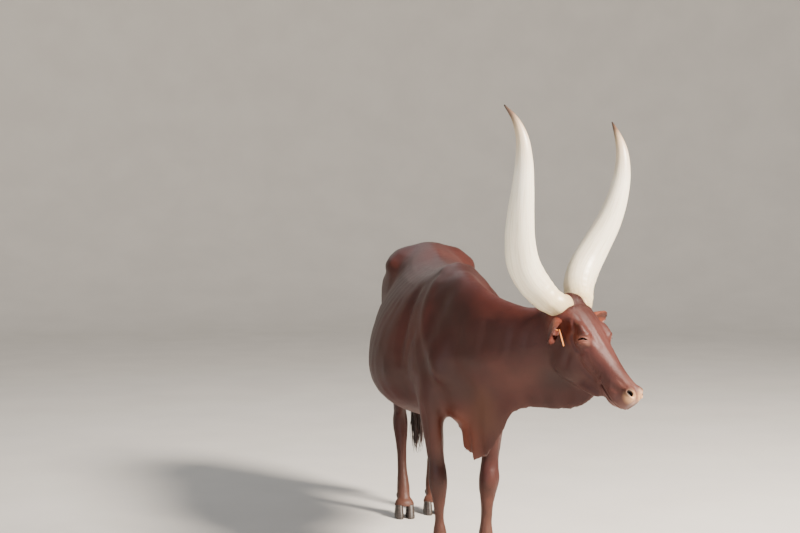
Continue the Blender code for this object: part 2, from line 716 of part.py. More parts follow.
def make_horn(side, name, where):
    made = Forms()
    frame = level_frame()
    count = 22
    rows = [(a, side * o, u, r) for a, o, u, r in horn_rows()]
    table = smooth_rows(rows, count)
    centres = [frame @ Vector(row[:3]) for row in table]
    rings = []
    for i, row in enumerate(table):
        ahead = (centres[min(i + 1, count - 1)] - centres[max(i - 1, 0)]).normalized()
        side_way = ahead.cross(Vector((0.3, 0.9, 0.1))).normalized()
        up_way = side_way.cross(ahead)
        rings.append(ring(centres[i], side_way, up_way, row[3], row[3], row[3], count=12))
    add_loft(made, rings)
    return made.to_object(name, where, HORN)


def face_outward(obj):
    made = bmesh.new()
    made.from_mesh(obj.data)
    bmesh.ops.recalc_face_normals(made, faces=made.faces)
    if made.calc_volume(signed=True) < 0:
        bmesh.ops.reverse_faces(made, faces=made.faces)
    made.to_mesh(obj.data)
    made.free()


EAR_LENGTH = 0.180
EAR_WALL = 0.006
EAR_ROOT = Vector((0.030, 0.088, -0.066))
EAR_ROWS = [
    # share of the length, half of the leaf's width laid flat, degrees that half is rolled through
    (0.00, 0.044, 165),
    (0.18, 0.051, 132),
    (0.45, 0.056, 90),
    (0.70, 0.049, 68),
    (0.88, 0.032, 55),
    (1.00, 0.010, 48),
]
# Degrees: swung forward from straight out, dropped below level. Her right ear is turned ahead, her left back.
EAR_POSE = {1: (-2, -4), -1: (22, 24)}


def ear_point(along, across):
    """A place on the ear's sheet, in ear space: X out to the tip, Y across, Z out of the back of the ear."""
    table = np.array(EAR_ROWS)
    leaf = np.interp(along, table[:, 0], table[:, 1])
    roll = math.radians(np.interp(along, table[:, 0], table[:, 2]))
    radius = leaf / roll
    angle = across * roll
    droop = -0.020 * along**2
    return Vector((EAR_LENGTH * along, radius * math.sin(angle), radius * math.cos(angle) - radius + droop))


def ear_frame(side):
    """Where the ear grows: low behind the horn, its cup turned ahead."""
    swing, drop = (math.radians(angle) for angle in EAR_POSE[side])
    out = Vector((math.sin(swing) * math.cos(drop), side * math.cos(swing) * math.cos(drop), -math.sin(drop)))
    back = Vector((-0.9, 0, 0.4))
    back = (back - out * back.dot(out)).normalized()
    across = back.cross(out)
    turn = Matrix((out, across, back)).transposed().to_4x4()
    level = level_frame()
    root = head_frame() @ Vector((EAR_ROOT.x, side * EAR_ROOT.y, EAR_ROOT.z))
    return Matrix.Translation(root) @ level.to_3x3().to_4x4() @ turn


def make_ear(side, name, where):
    frame = ear_frame(side)
    made = bmesh.new()
    steps, breadth = 9, 7
    bmesh.ops.create_grid(made, x_segments=steps, y_segments=breadth, size=0.5)
    for vert in made.verts:
        vert.co = frame @ ear_point(vert.co.x + 0.5, vert.co.y * 2 * 0.98)
    obj = object_from(made, name, where)
    wall = obj.modifiers.new("wall", "SOLIDIFY")
    wall.thickness = EAR_WALL
    wall.offset = 0
    graph = bpy.context.evaluated_depsgraph_get()
    mesh = bpy.data.meshes.new_from_object(obj.evaluated_get(graph))
    obj.modifiers.clear()
    obj.data = mesh
    face_outward(obj)
    return obj


def make_eye(side, name, where):
    made = bmesh.new()
    place = head_frame() @ Matrix.Translation((EYE_PLACE.x, side * EYE_PLACE.y, EYE_PLACE.z))
    bmesh.ops.create_uvsphere(made, u_segments=12, v_segments=8, radius=EYE_RADIUS, matrix=place)
    return object_from(made, name, where, EYE)


def claw_ring(front, back, half_width, z, inner, count=12):
    """One level of a claw: rounded at the toe and heel, flatter on the side that faces the cleft."""
    points = []
    for turn in np.linspace(0, 2 * math.pi, count, endpoint=False):
        along, across = math.cos(turn), math.sin(turn)
        reach = front if along > 0 else back
        squash = 0.72 if across * inner > 0 else 1.0
        points.append(
            Vector((
                reach * math.copysign(abs(along) ** 0.8, along),
                half_width * squash * math.copysign(abs(across) ** 0.75, across),
                z,
            ))
        )
    return points


CLAW_HEIGHT = 0.066


def make_claw(name, foot, outer, turn, where):
    """One of the two toes: a flat sole, a sloping front wall and a low heel."""
    inner = -outer
    levels = [
        # reach ahead, reach back, half-width, height
        (0.059, 0.051, 0.0250, 0),
        (0.057, 0.050, 0.0255, 0.010),
        (0.042, 0.044, 0.0232, 0.044),
        (0.030, 0.040, 0.0205, CLAW_HEIGHT),
    ]
    frame = (
        Matrix.Translation((foot[0] + 0.030, foot[1], 0))
        @ Matrix.Rotation(math.radians(turn), 4, "Z")
        @ Matrix.Translation((0, outer * 0.0245, 0))
    )
    made = Forms()
    add_loft(made, [[frame @ p for p in claw_ring(f, b, w, z, inner)] for f, b, w, z in levels])
    return made.to_object(name, where, HOOF)


def make_dewclaw(name, foot, outer, where):
    made = bmesh.new()
    place = (
        Matrix.Translation((foot[0] - 0.038, foot[1] + outer * 0.022, 0.098))
        @ Matrix.Rotation(math.radians(-30), 4, "Y")
        @ Matrix.Diagonal((0.013, 0.012, 0.020, 1))
    )
    bmesh.ops.create_uvsphere(made, u_segments=8, v_segments=5, radius=1, matrix=place)
    return object_from(made, name, where, HOOF)


TAIL_X = -0.900
TAIL_ROWS = [
    (-0.745, 0, 1.265, 0.038, 0.038),
    (-0.820, 0, 1.262, 0.035, 0.035),
    (-0.882, 0, 1.205, 0.029, 0.030),
    (TAIL_X - 0.008, 0, 1.10, 0.024, 0.026),
    (TAIL_X - 0.012, 0, 0.92, 0.020, 0.022),
    (TAIL_X - 0.006, 0, 0.76, 0.017, 0.019),
    (TAIL_X, 0, 0.62, 0.014, 0.016),
]
SWITCH_TOP = 0.64
SWITCH_TIP = 0.27


def make_tail(where):
    made = Forms()
    add_tube(made, TAIL_ROWS, count=16, sides=10)
    return made.to_object("tail", where)


def add_lock(made, root, tip, bow, width, thickness):
    """A flat tapered lock of hair that leaves its root, bows out and narrows to a point."""
    steps = 5
    run = tip - root
    out = bow.normalized()
    across = run.cross(out).normalized()
    rings = []
    for i in range(steps + 1):
        t = i / steps
        centre = root + run * t + bow * math.sin(math.pi * min(1, t * 1.15)) * (1 - 0.4 * t)
        taper = (0.55 + 1.2 * t) if t < 0.35 else 0.97 * (1 - (t - 0.35) / 0.65) ** 0.8
        taper = max(taper, 0.06)
        half, thick = width / 2 * taper, thickness / 2 * max(taper, 0.25)
        wide, deep = across * half, out * thick
        rings.append([centre + wide, centre + deep, centre - wide, centre - deep])
    add_loft(made, rings)


def make_switch(where, spare):
    """The brush of the tail: a slim core with long locks in three tiers that overlap down to their tips."""
    random.seed(7)
    core = Forms()
    x = TAIL_X
    rows = [
        (x, 0, SWITCH_TOP, 0.017, 0.019),
        (x, 0, 0.58, 0.021, 0.024),
        (x - 0.002, 0, 0.48, 0.022, 0.025),
        (x - 0.004, 0, 0.40, 0.012, 0.014),
    ]
    add_tube(core, rows, count=8, sides=10)
    switch = core.to_object("tail_switch", where, SWITCH)
    locks = bpy.data.collections.new("locks")
    bpy.context.scene.collection.children.link(locks)
    # Height of the roots, height of the tips, number of locks, how deep in the core they start
    tiers = [(0.60, 0.42, 6, 0.016), (0.53, 0.34, 7, 0.016), (0.46, SWITCH_TIP, 6, 0.012)]
    for tier, (root_z, tip_z, count, inset) in enumerate(tiers):
        for i in range(count):
            turn = 2 * math.pi * (i + 0.5 * tier) / count + random.uniform(-0.12, 0.12)
            out = Vector((math.cos(turn), math.sin(turn), 0))
            root = Vector((x, 0, root_z + random.uniform(-0.012, 0.012))) + out * (0.020 - inset * 0.6)
            tip = Vector((x - 0.006, 0, tip_z + random.uniform(-0.02, 0.035)))
            tip += out * random.uniform(0.010, 0.026)
            made = Forms()
            add_lock(made, root, tip, out * random.uniform(0.014, 0.022), 0.022, 0.009)
            made.to_object(f"lock_{tier}_{i}", locks, SWITCH)
    step = switch.modifiers.new("locks", "BOOLEAN")
    step.operation = "UNION"
    step.operand_type = "COLLECTION"
    step.collection = locks
    step.solver = "MANIFOLD"
    graph = bpy.context.evaluated_depsgraph_get()
    mesh = bpy.data.meshes.new_from_object(switch.evaluated_get(graph))
    switch.modifiers.clear()
    switch.data = mesh
    for lock in list(locks.objects):
        bpy.data.objects.remove(lock, do_unlink=True)
    bpy.data.collections.remove(locks)
    return largest_piece(switch)


def surface_of(obj):
    made = bmesh.new()
    made.from_mesh(obj.data)
    tree = BVHTree.FromBMesh(made)
    made.free()
    return tree


def skin_point(surface, side, x, z, out=0.0):
    """The place on the side of the head at a given level, found from outside, or an amount off it."""
    frame = head_frame()
    start = frame @ Vector((x, side * 0.3, z))
    way = (frame.to_3x3() @ Vector((0, -side, 0))).normalized()
    hit, _, _, _ = surface.ray_cast(start, way)
    return (hit if hit else frame @ Vector((x, side * 0.05, z))) - way * out


def mouth_cutter(surface, where):
    """A thin groove along the line of the lips, from one corner round the front to the other."""
    line = [(0.372, -0.094), (0.395, -0.098), (0.420, -0.100), (0.445, -0.100), (0.468, -0.099)]
    points = [skin_point(surface, 1, x, z, -0.001) for x, z in line]
    frame = head_frame()
    for turn in (60, 30, 0, -30, -60):
        angle = math.radians(turn)
        start = frame @ Vector((0.440 + 0.25 * math.cos(angle), 0.25 * math.sin(angle), -0.098))
        way = (frame.to_3x3() @ Vector((-math.cos(angle), -math.sin(angle), 0))).normalized()
        hit, _, _, _ = surface.ray_cast(start, way)
        points.append(hit + way * 0.001)
    points += [skin_point(surface, -1, x, z, -0.001) for x, z in reversed(line)]
    made = Forms()
    last = len(points) - 1
    rings = []
    up = (frame.to_3x3() @ Vector((0, 0, 1))).normalized()
    for i, point in enumerate(points):
        ahead = (points[min(i + 1, last)] - points[max(i - 1, 0)]).normalized()
        across = ahead.cross(up).normalized()
        end = min(i, last - i)
        deep = 0.0060 if end > 0 else 0.003
        rings.append(ring(point, across, across.cross(ahead), deep, 0.0021, 0.0021, count=6))
    add_loft(made, rings)
    return as_cutter(made.to_object("mouth_cutter", where))


def nostril_cutter(side, where):
    """A slanting comma of a nostril, open to the front and side."""
    made = Forms()
    frame = head_frame()
    add_form(made, (0.491, side * 0.046, -0.010), (0.022, 0.016, 0.0095), (0, 10, side * -47), frame, 14, 8)
    return as_cutter(made.to_object(f"nostril_cutter_{side}", where))


def slit_cutter(side, where):
    """The narrow opening between the lids of a sleepy eye."""
    made = Forms()
    frame = head_frame()
    half_long, half_high = 0.0200, 0.0052
    tilt = Matrix.Rotation(math.radians(side * EYE_LEAN), 3, "X") @ Matrix.Rotation(math.radians(LID_TILT), 3, "Y")
    centre = Vector((EYE_PLACE.x, side * EYE_PLACE.y, EYE_PLACE.z))
    rings = []
    for out in (0.004, 0.080):
        points = []
        for turn in np.linspace(0, 2 * math.pi, 12, endpoint=False):
            along = math.cos(turn)
            high = half_high * math.copysign(abs(math.sin(turn)) ** 1.2, math.sin(turn)) - 0.0045 * along**2
            points.append(frame @ (centre + tilt @ Vector((along * half_long, side * out, high))))
        rings.append(points)
    add_loft(made, rings)
    return as_cutter(made.to_object(f"slit_cutter_{side}", where))


def socket_cutter(side, where):
    made = bmesh.new()
    place = head_frame() @ Matrix.Translation((EYE_PLACE.x, side * EYE_PLACE.y, EYE_PLACE.z))
    radius = EYE_RADIUS + GAP / HEAD_SCALE
    bmesh.ops.create_uvsphere(made, u_segments=12, v_segments=8, radius=radius, matrix=place)
    return as_cutter(object_from(made, f"socket_cutter_{side}", where))


def make_udder(where):
    made = Forms()
    add_form(made, (-0.43, 0, 0.685), (0.100, 0.068, 0.075))
    for x in (-0.385, -0.465):
        for side in SIDES.values():
            add_form(made, (x, side * 0.032, 0.622), (0.013, 0.013, 0.030))
    return remeshed(made, "udder", 0.006, where)


def make_tag(where):
    """A small plain tag that dangles from a stud in the cup of the right ear."""
    frame = ear_frame(-1)
    turn = frame.to_3x3()
    wall = frame @ ear_point(0.45, 0)
    inward = (turn @ Vector((0, 0, -1))).normalized()
    across = (turn @ Vector((0, 1, 0))).normalized()
    hole = wall + inward * 0.040
    made = Forms()
    stud = [ring(wall + inward * reach, across, across.cross(inward), 0.0026, 0.0026, 0.0026, count=8)
            for reach in (EAR_WALL / 2 + GAP, 0.0415)]
    add_loft(made, stud)
    down = Vector((0.05, 0.26, -0.96)).normalized()
    wide = Vector((0.95, -0.30, 0))
    wide = (wide - down * wide.dot(down)).normalized()
    thick = wide.cross(down)
    rings = []
    for drop, half in ((-0.007, 0.007), (0.002, 0.011), (0.014, 0.018), (0.056, 0.020), (0.060, 0.017)):
        spot = hole + down * drop
        rings.append([spot + wide * half + thick * 0.001, spot - wide * half + thick * 0.001,
                      spot - wide * half - thick * 0.001, spot + wide * half - thick * 0.001])
    plate = Forms()
    add_loft(plate, rings)
    return made.to_object("ear_tag_right", where, TAG), plate.to_object("tag_plate", where, TAG)


def level_box(name, low, high, where):
    return boxed(name, low, high, Matrix.Identity(4), where)


def head_side(name, ahead, where):
    """Everything ahead of an upright plane behind the jaw."""
    return boxed(name, (HEAD_PLANE + ahead, -0.6, -0.9), (HEAD_PLANE + 1.2, 0.6, 0.9), level_frame(), where)


def neck_frame():
    """A leaning plane through the root of the neck. X points ahead of it."""
    low, high = Vector((0.68, 0, 0.80)), Vector((0.52, 0, 1.20))
    lean = math.atan2(low.x - high.x, high.z - low.z)
    return Matrix.Translation(low) @ Matrix.Rotation(-lean, 4, "Y")


def neck_side(name, ahead, where):
    """Everything ahead of the leaning plane."""
    return boxed(name, (ahead, -0.8, -0.8), (1.5, 0.8, 0.9), neck_frame(), where)


LEG_TOPS = {"foreleg": 0.660, "hindleg": 0.655}
LEG_REACH = {"foreleg": (0.385, 0.66), "hindleg": (-1.10, -0.40)}
LEG_INSIDE = {"foreleg": 0.068, "hindleg": 0.002}


def leg_box(name, kind, side, more, where):
    """Round one leg below the trunk, larger by an amount on every side that meets the trunk."""
    back, front = LEG_REACH[kind]
    inner, outer = sorted((side * (LEG_INSIDE[kind] - more), side * 0.6))
    return level_box(name, (back - more, inner, -0.2), (front + more, outer, LEG_TOPS[kind] + more), where)


def cut_flesh(flesh, cow, cutters):
    """Divides the one body into head, neck, trunk and legs: roughly first, then thinned, then on exact planes."""
    nodes = {}
    part = copied(flesh, "head", cow)
    boolean(part, head_side("rough_head", -0.04, cutters), "INTERSECT", "MANIFOLD")
    nodes["head"] = thinned(part, TRIANGLES["head"])
    part = copied(flesh, "neck", cow)
    boolean(part, neck_side("rough_neck", -0.04, cutters), "INTERSECT", "MANIFOLD")
    boolean(part, head_side("rough_face", 0.04, cutters), "DIFFERENCE", "MANIFOLD")
    nodes["neck"] = thinned(part, TRIANGLES["neck"])
    part = copied(flesh, "torso", cow)
    boolean(part, neck_side("rough_front", 0.04, cutters), "DIFFERENCE", "MANIFOLD")
    for kind in LEG_TOPS:
        for name, side in SIDES.items():
            rough_top = leg_box(f"rough_top_{kind}_{name}", kind, side, -0.03, cutters)
            boolean(part, rough_top, "DIFFERENCE", "MANIFOLD")
    nodes["torso"] = thinned(part, TRIANGLES["torso"])
    for kind in LEG_TOPS:
        for name, side in SIDES.items():
            part = copied(flesh, f"{kind}_{name}", cow)
            rough_leg = leg_box(f"rough_{kind}_{name}", kind, side, 0.035, cutters)
            boolean(part, rough_leg, "INTERSECT", "MANIFOLD")
            nodes[part.name] = thinned(largest_piece(part), TRIANGLES[kind])
    boolean(nodes["head"], head_side("face_side", GAP / 2, cutters), "INTERSECT")
    boolean(nodes["neck"], head_side("face_back", -GAP / 2, cutters), "DIFFERENCE")
    boolean(nodes["neck"], neck_side("neck_front", GAP / 2, cutters), "INTERSECT")
    boolean(nodes["torso"], neck_side("neck_back", -GAP / 2, cutters), "DIFFERENCE")
    for kind in LEG_TOPS:
        for name, side in SIDES.items():
            hollow = leg_box(f"hollow_{kind}_{name}", kind, side, GAP, cutters)
            boolean(nodes["torso"], hollow, "DIFFERENCE")
            leg = nodes[f"{kind}_{name}"]
            boolean(leg, leg_box(f"fill_{kind}_{name}", kind, side, 0, cutters), "INTERSECT")
            ground = level_box(f"ground_{kind}_{name}", (-2, -1, -0.2), (2, 1, CLAW_HEIGHT + GAP), cutters)
            boolean(leg, ground, "DIFFERENCE")
    for part in nodes.values():
        largest_piece(part)
    return nodes


def main():
    clear_scene()
    cow = collection("cow")
    cutters = collection("cutters")
    cutters.hide_render = True

    flesh = Forms()
    for name, side in SIDES.items():
        add_foreleg(flesh, side)
        add_hindleg(flesh, side, *FEET[f"hind_{name}"])
    add_head(flesh)
    add_neck(flesh)
    add_broad_flesh(flesh, cutters)
    flesh = remeshed(flesh, "flesh", FLESH_VOXEL, cutters)
    clay = Clay(flesh)
    clay.fill_creases(30)
    shape_body(clay)
    shape_head(clay)
    clay.ease(5)
    clay.store()
    nodes = cut_flesh(flesh, cow, cutters)
    bpy.data.objects.remove(flesh, do_unlink=True)

    head, torso = nodes["head"], nodes["torso"]
    head_skin = swollen(head, "head_skin", 2 * GAP, cutters)
    torso_skin = swollen(torso, "torso_skin", GAP, cutters)
    surface = surface_of(head)
    for name, side in SIDES.items():
        horn = make_horn(side, f"horn_{name}", cow)
        ear = make_ear(side, f"ear_{name}", cow)
        horn_skin = swollen(horn, f"horn_skin_{name}", GAP, cutters)
        boolean(horn, head_skin, "DIFFERENCE")
        boolean(ear, head_skin, "DIFFERENCE")
        boolean(ear, horn_skin, "DIFFERENCE")
        largest_piece(horn)
        largest_piece(ear)
        ear_skin = swollen(ear, f"ear_skin_{name}", GAP, cutters)
        make_eye(side, f"eye_{name}", cow)
        boolean(head, socket_cutter(side, cutters), "DIFFERENCE")
        boolean(head, slit_cutter(side, cutters), "DIFFERENCE")
        boolean(head, nostril_cutter(side, cutters), "DIFFERENCE")
    boolean(head, mouth_cutter(surface, cutters), "DIFFERENCE")
    largest_piece(head)
    tag, plate = make_tag(cow)
    boolean(tag, plate, "UNION")
    bpy.data.objects.remove(plate, do_unlink=True)
    boolean(tag, ear_skin, "DIFFERENCE")
    largest_piece(tag)
    for foot, place in FEET.items():
        limb, name = foot.split("_")
        leg = nodes[f"{limb}leg_{name}"]
        leg_skin = swollen(leg, f"leg_skin_{foot}", GAP, cutters)
        for toe, outer in (("outer", SIDES[name]), ("inner", -SIDES[name])):
            make_claw(f"claw_{foot}_{toe}", place, outer, 0, cow)
            dewclaw = make_dewclaw(f"dewclaw_{foot}_{toe}", place, outer, cow)
            boolean(dewclaw, leg_skin, "DIFFERENCE")
            largest_piece(dewclaw)
    switch = make_switch(cow, cutters)
    rope = make_tail(cow)
    boolean(rope, torso_skin, "DIFFERENCE")
    boolean(rope, level_box("tail_end", (-2, -1, 0), (2, 1, SWITCH_TOP + GAP), cutters), "DIFFERENCE")
    largest_piece(rope)
    udder = thinned(make_udder(cow), 360)
    boolean(udder, torso_skin, "DIFFERENCE")
    largest_piece(udder)
    settle(cow, cutters)


def settle(cow, cutters):
    """Puts the middle of the footprint at the origin, with the soles on the floor."""
    for obj in cow.objects:
        face_outward(obj)
    corners = np.concatenate([[tuple(v.co) for v in obj.data.vertices] for obj in cow.objects])
    low, high = corners.min(axis=0), corners.max(axis=0)
    shift = Matrix.Translation((-(low[0] + high[0]) / 2, -(low[1] + high[1]) / 2, -low[2]))
    for where in (cow, cutters):
        for obj in where.objects:
            obj.data.transform(shift)


main()
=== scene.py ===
"""The look of a life-size museum model of a long-horned cow: one skin with a short glossy coat over it, finer
horns, ears, hooves and tail brush, and the ear tag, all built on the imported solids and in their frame."""

import math
import random

import bmesh
import bpy
import numpy as np
from mathutils import Matrix, Vector
from mathutils.bvhtree import BVHTree


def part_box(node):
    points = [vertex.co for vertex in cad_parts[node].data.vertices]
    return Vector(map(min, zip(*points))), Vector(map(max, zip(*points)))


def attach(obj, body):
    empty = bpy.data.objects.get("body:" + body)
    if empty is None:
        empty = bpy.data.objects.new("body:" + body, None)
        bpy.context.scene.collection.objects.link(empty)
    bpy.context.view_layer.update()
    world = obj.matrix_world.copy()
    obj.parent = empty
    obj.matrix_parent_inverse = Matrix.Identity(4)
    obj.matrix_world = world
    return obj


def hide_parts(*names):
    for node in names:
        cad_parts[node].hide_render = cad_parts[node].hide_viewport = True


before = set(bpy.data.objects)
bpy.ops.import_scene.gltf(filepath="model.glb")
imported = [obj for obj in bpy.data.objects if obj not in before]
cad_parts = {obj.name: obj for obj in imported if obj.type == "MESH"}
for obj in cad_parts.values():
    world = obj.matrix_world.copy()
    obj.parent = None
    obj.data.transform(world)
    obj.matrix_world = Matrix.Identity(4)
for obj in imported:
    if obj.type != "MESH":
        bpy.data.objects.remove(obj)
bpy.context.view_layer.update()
random.seed(11)
draw = np.random.default_rng(11)

SIDES = {"left": 1, "right": -1}
LEGS = ["foreleg_left", "foreleg_right", "hindleg_left", "hindleg_right"]
FLESH = ["head", "neck", "torso"] + LEGS + ["tail", "udder"]
EYES = ["eye_left", "eye_right"]
FEET = ["fore_left", "fore_right", "hind_left", "hind_right"]

# How the head is held, as in the solids. Head space has X down the face from the crown, Y to her left and
# Z out of the forehead.
HEAD_YAW = math.radians(41)
HEAD_PITCH = math.radians(45)
HEAD_ROLL = math.radians(-3)
HEAD_SCALE = 0.935
EYE_PLACE = Vector((0.193, 0.076, -0.017))
EYE_RADIUS = 0.018
EYE_LEAN = math.radians(20)
LID_TILT = math.radians(50)
# The crown, measured from the floor under the middle of her barrel.
CROWN = Vector((1.019, 0.342, 1.176))

# The skin's cells over the body, and those of the forms that face and feet are pressed against; how far
# the nodes grow so that the cuts between them close; the coat's depth, and what more the skin lies inside
# the solids.
SKIN_CELL = 0.0118
FINE_CELL = 0.0045
CUT_CLOSED = 0.0008
COAT_DEPTH = 0.002
SKIN_INSIDE = 0.0006
# How far from the skin a form is looked for.
FORM_REACH = 0.03
# Edges of the skin from this angle on, such as the rims of ears and nostrils, stay sharp.
SHARP_EDGE = math.radians(58)


def middle(node):
    low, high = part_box(node)
    return (low + high) / 2


HEAD_WAY = Matrix.Rotation(HEAD_YAW, 4, "Z") @ Matrix.Rotation(HEAD_ROLL, 4, "X")
HEAD_TURN = HEAD_WAY @ Matrix.Rotation(HEAD_PITCH, 4, "Y")
HEAD_SIZED = HEAD_TURN @ Matrix.Scale(HEAD_SCALE, 4)
between_eyes = (middle("eye_left") + middle("eye_right")) / 2
crown = between_eyes - HEAD_SIZED.to_3x3() @ Vector((EYE_PLACE.x, 0, EYE_PLACE.z))
HEAD = Matrix.Translation(crown) @ HEAD_SIZED
LEVEL = Matrix.Translation(crown) @ HEAD_WAY
# From the floor under the middle of her barrel to the origin of the solids.
SHIFT = crown - CROWN


# Materials


def linear(code):
    """A hex colour as the linear values that a shader takes."""
    values = [int(code[i : i + 2], 16) / 255 for i in (0, 2, 4)]
    return tuple(v / 12.92 if v <= 0.04045 else ((v + 0.055) / 1.055) ** 2.4 for v in values) + (1.0,)


def add_node(tree, kind, settings=None, links=None):
    """A node with its settings, by name or by an input's number, and its links, input: (node, output)."""
    node = tree.nodes.new(kind)
    for key, value in (settings or {}).items():
        if isinstance(key, int) or key in node.inputs:
            node.inputs[key].default_value = value
        else:
            setattr(node, key, value)
    for key, (source, output) in (links or {}).items():
        tree.links.new(source.outputs[output], node.inputs[key])
    return node


def new_material(name):
    made = bpy.data.materials.new(name)
    made.use_nodes = True
    tree = made.node_tree
    tree.nodes.clear()
    return made, tree


def colour_ramp(tree, source, output, stops):
    ramp = add_node(tree, "ShaderNodeValToRGB", {}, {"Fac": (source, output)})
    elements = ramp.color_ramp.elements
    while len(elements) < len(stops):
        elements.new(0.5)
    for element, (place, code) in zip(elements, stops):
        element.position = place
        element.color = linear(code)
    return ramp


# A Mix node's sockets share their names between numbers and colours, so they are reached by place.
MIX_SHARE = 0
MIX_NUMBERS = (2, 3)
MIX_COLOURS = (6, 7)
MIXED_NUMBER = 0
MIXED_COLOUR = 2


def blended(tree, share, first, second):
    """Two patterns of numbers blended by a share."""
    links = {MIX_SHARE: (share, "Result"), MIX_NUMBERS[0]: first, MIX_NUMBERS[1]: second}
    return add_node(tree, "ShaderNodeMix", {}, links)


def toned(tree, base, tone, amount):
    """The colours of one ramp darkened by another."""
    settings = {"data_type": "RGBA", "blend_type": "MULTIPLY", MIX_SHARE: amount}
    links = {MIX_COLOURS[0]: (base, "Color"), MIX_COLOURS[1]: (tone, "Color")}
    return add_node(tree, "ShaderNodeMix", settings, links)


def marked(tree, share, below, code):
    """A colour, of a marking or of painted light or shade, laid by its share over the colours below it."""
    settings = {"data_type": "RGBA", MIX_COLOURS[1]: linear(code)}
    links = {MIX_SHARE: (share, "Result"), MIX_COLOURS[0]: (below, MIXED_COLOUR)}
    return add_node(tree, "ShaderNodeMix", settings, links)


def surfaced(tree, settings, links):
    """Shader and output of a material. What is the same all over it is set on the shader's own sockets."""
    shader = add_node(tree, "ShaderNodeBsdfPrincipled", settings, links)
    add_node(tree, "ShaderNodeOutputMaterial", {}, {"Surface": (shader, "BSDF")})


def patch(tree, place, centre, reach, stretch=(1, 1, 1), strength=1.0, turn=(0, 0, 0), core=0.85):
    """A share that is full near a place and falls softly to 0 at its reach, as an oval patch."""
    scale = tuple(reach * share for share in stretch)
    settings = {"vector_type": "TEXTURE", "Location": centre, "Rotation": turn, "Scale": scale}
    mapping = add_node(tree, "ShaderNodeMapping", settings, {"Vector": (place, "Object")})
    links = {"Vector": (mapping, "Vector")}
    ball = add_node(tree, "ShaderNodeTexGradient", {"gradient_type": "SPHERICAL"}, links)
    settings = {"From Max": core, "To Max": strength, "interpolation_type": "SMOOTHSTEP"}
    return add_node(tree, "ShaderNodeMapRange", settings, {"Value": (ball, "Fac")})


def in_head(x, y, z):
    return tuple(HEAD @ Vector((x, y, z)))


def on_body(x, y, z):
    return tuple(Vector((x, y, z)) + SHIFT)


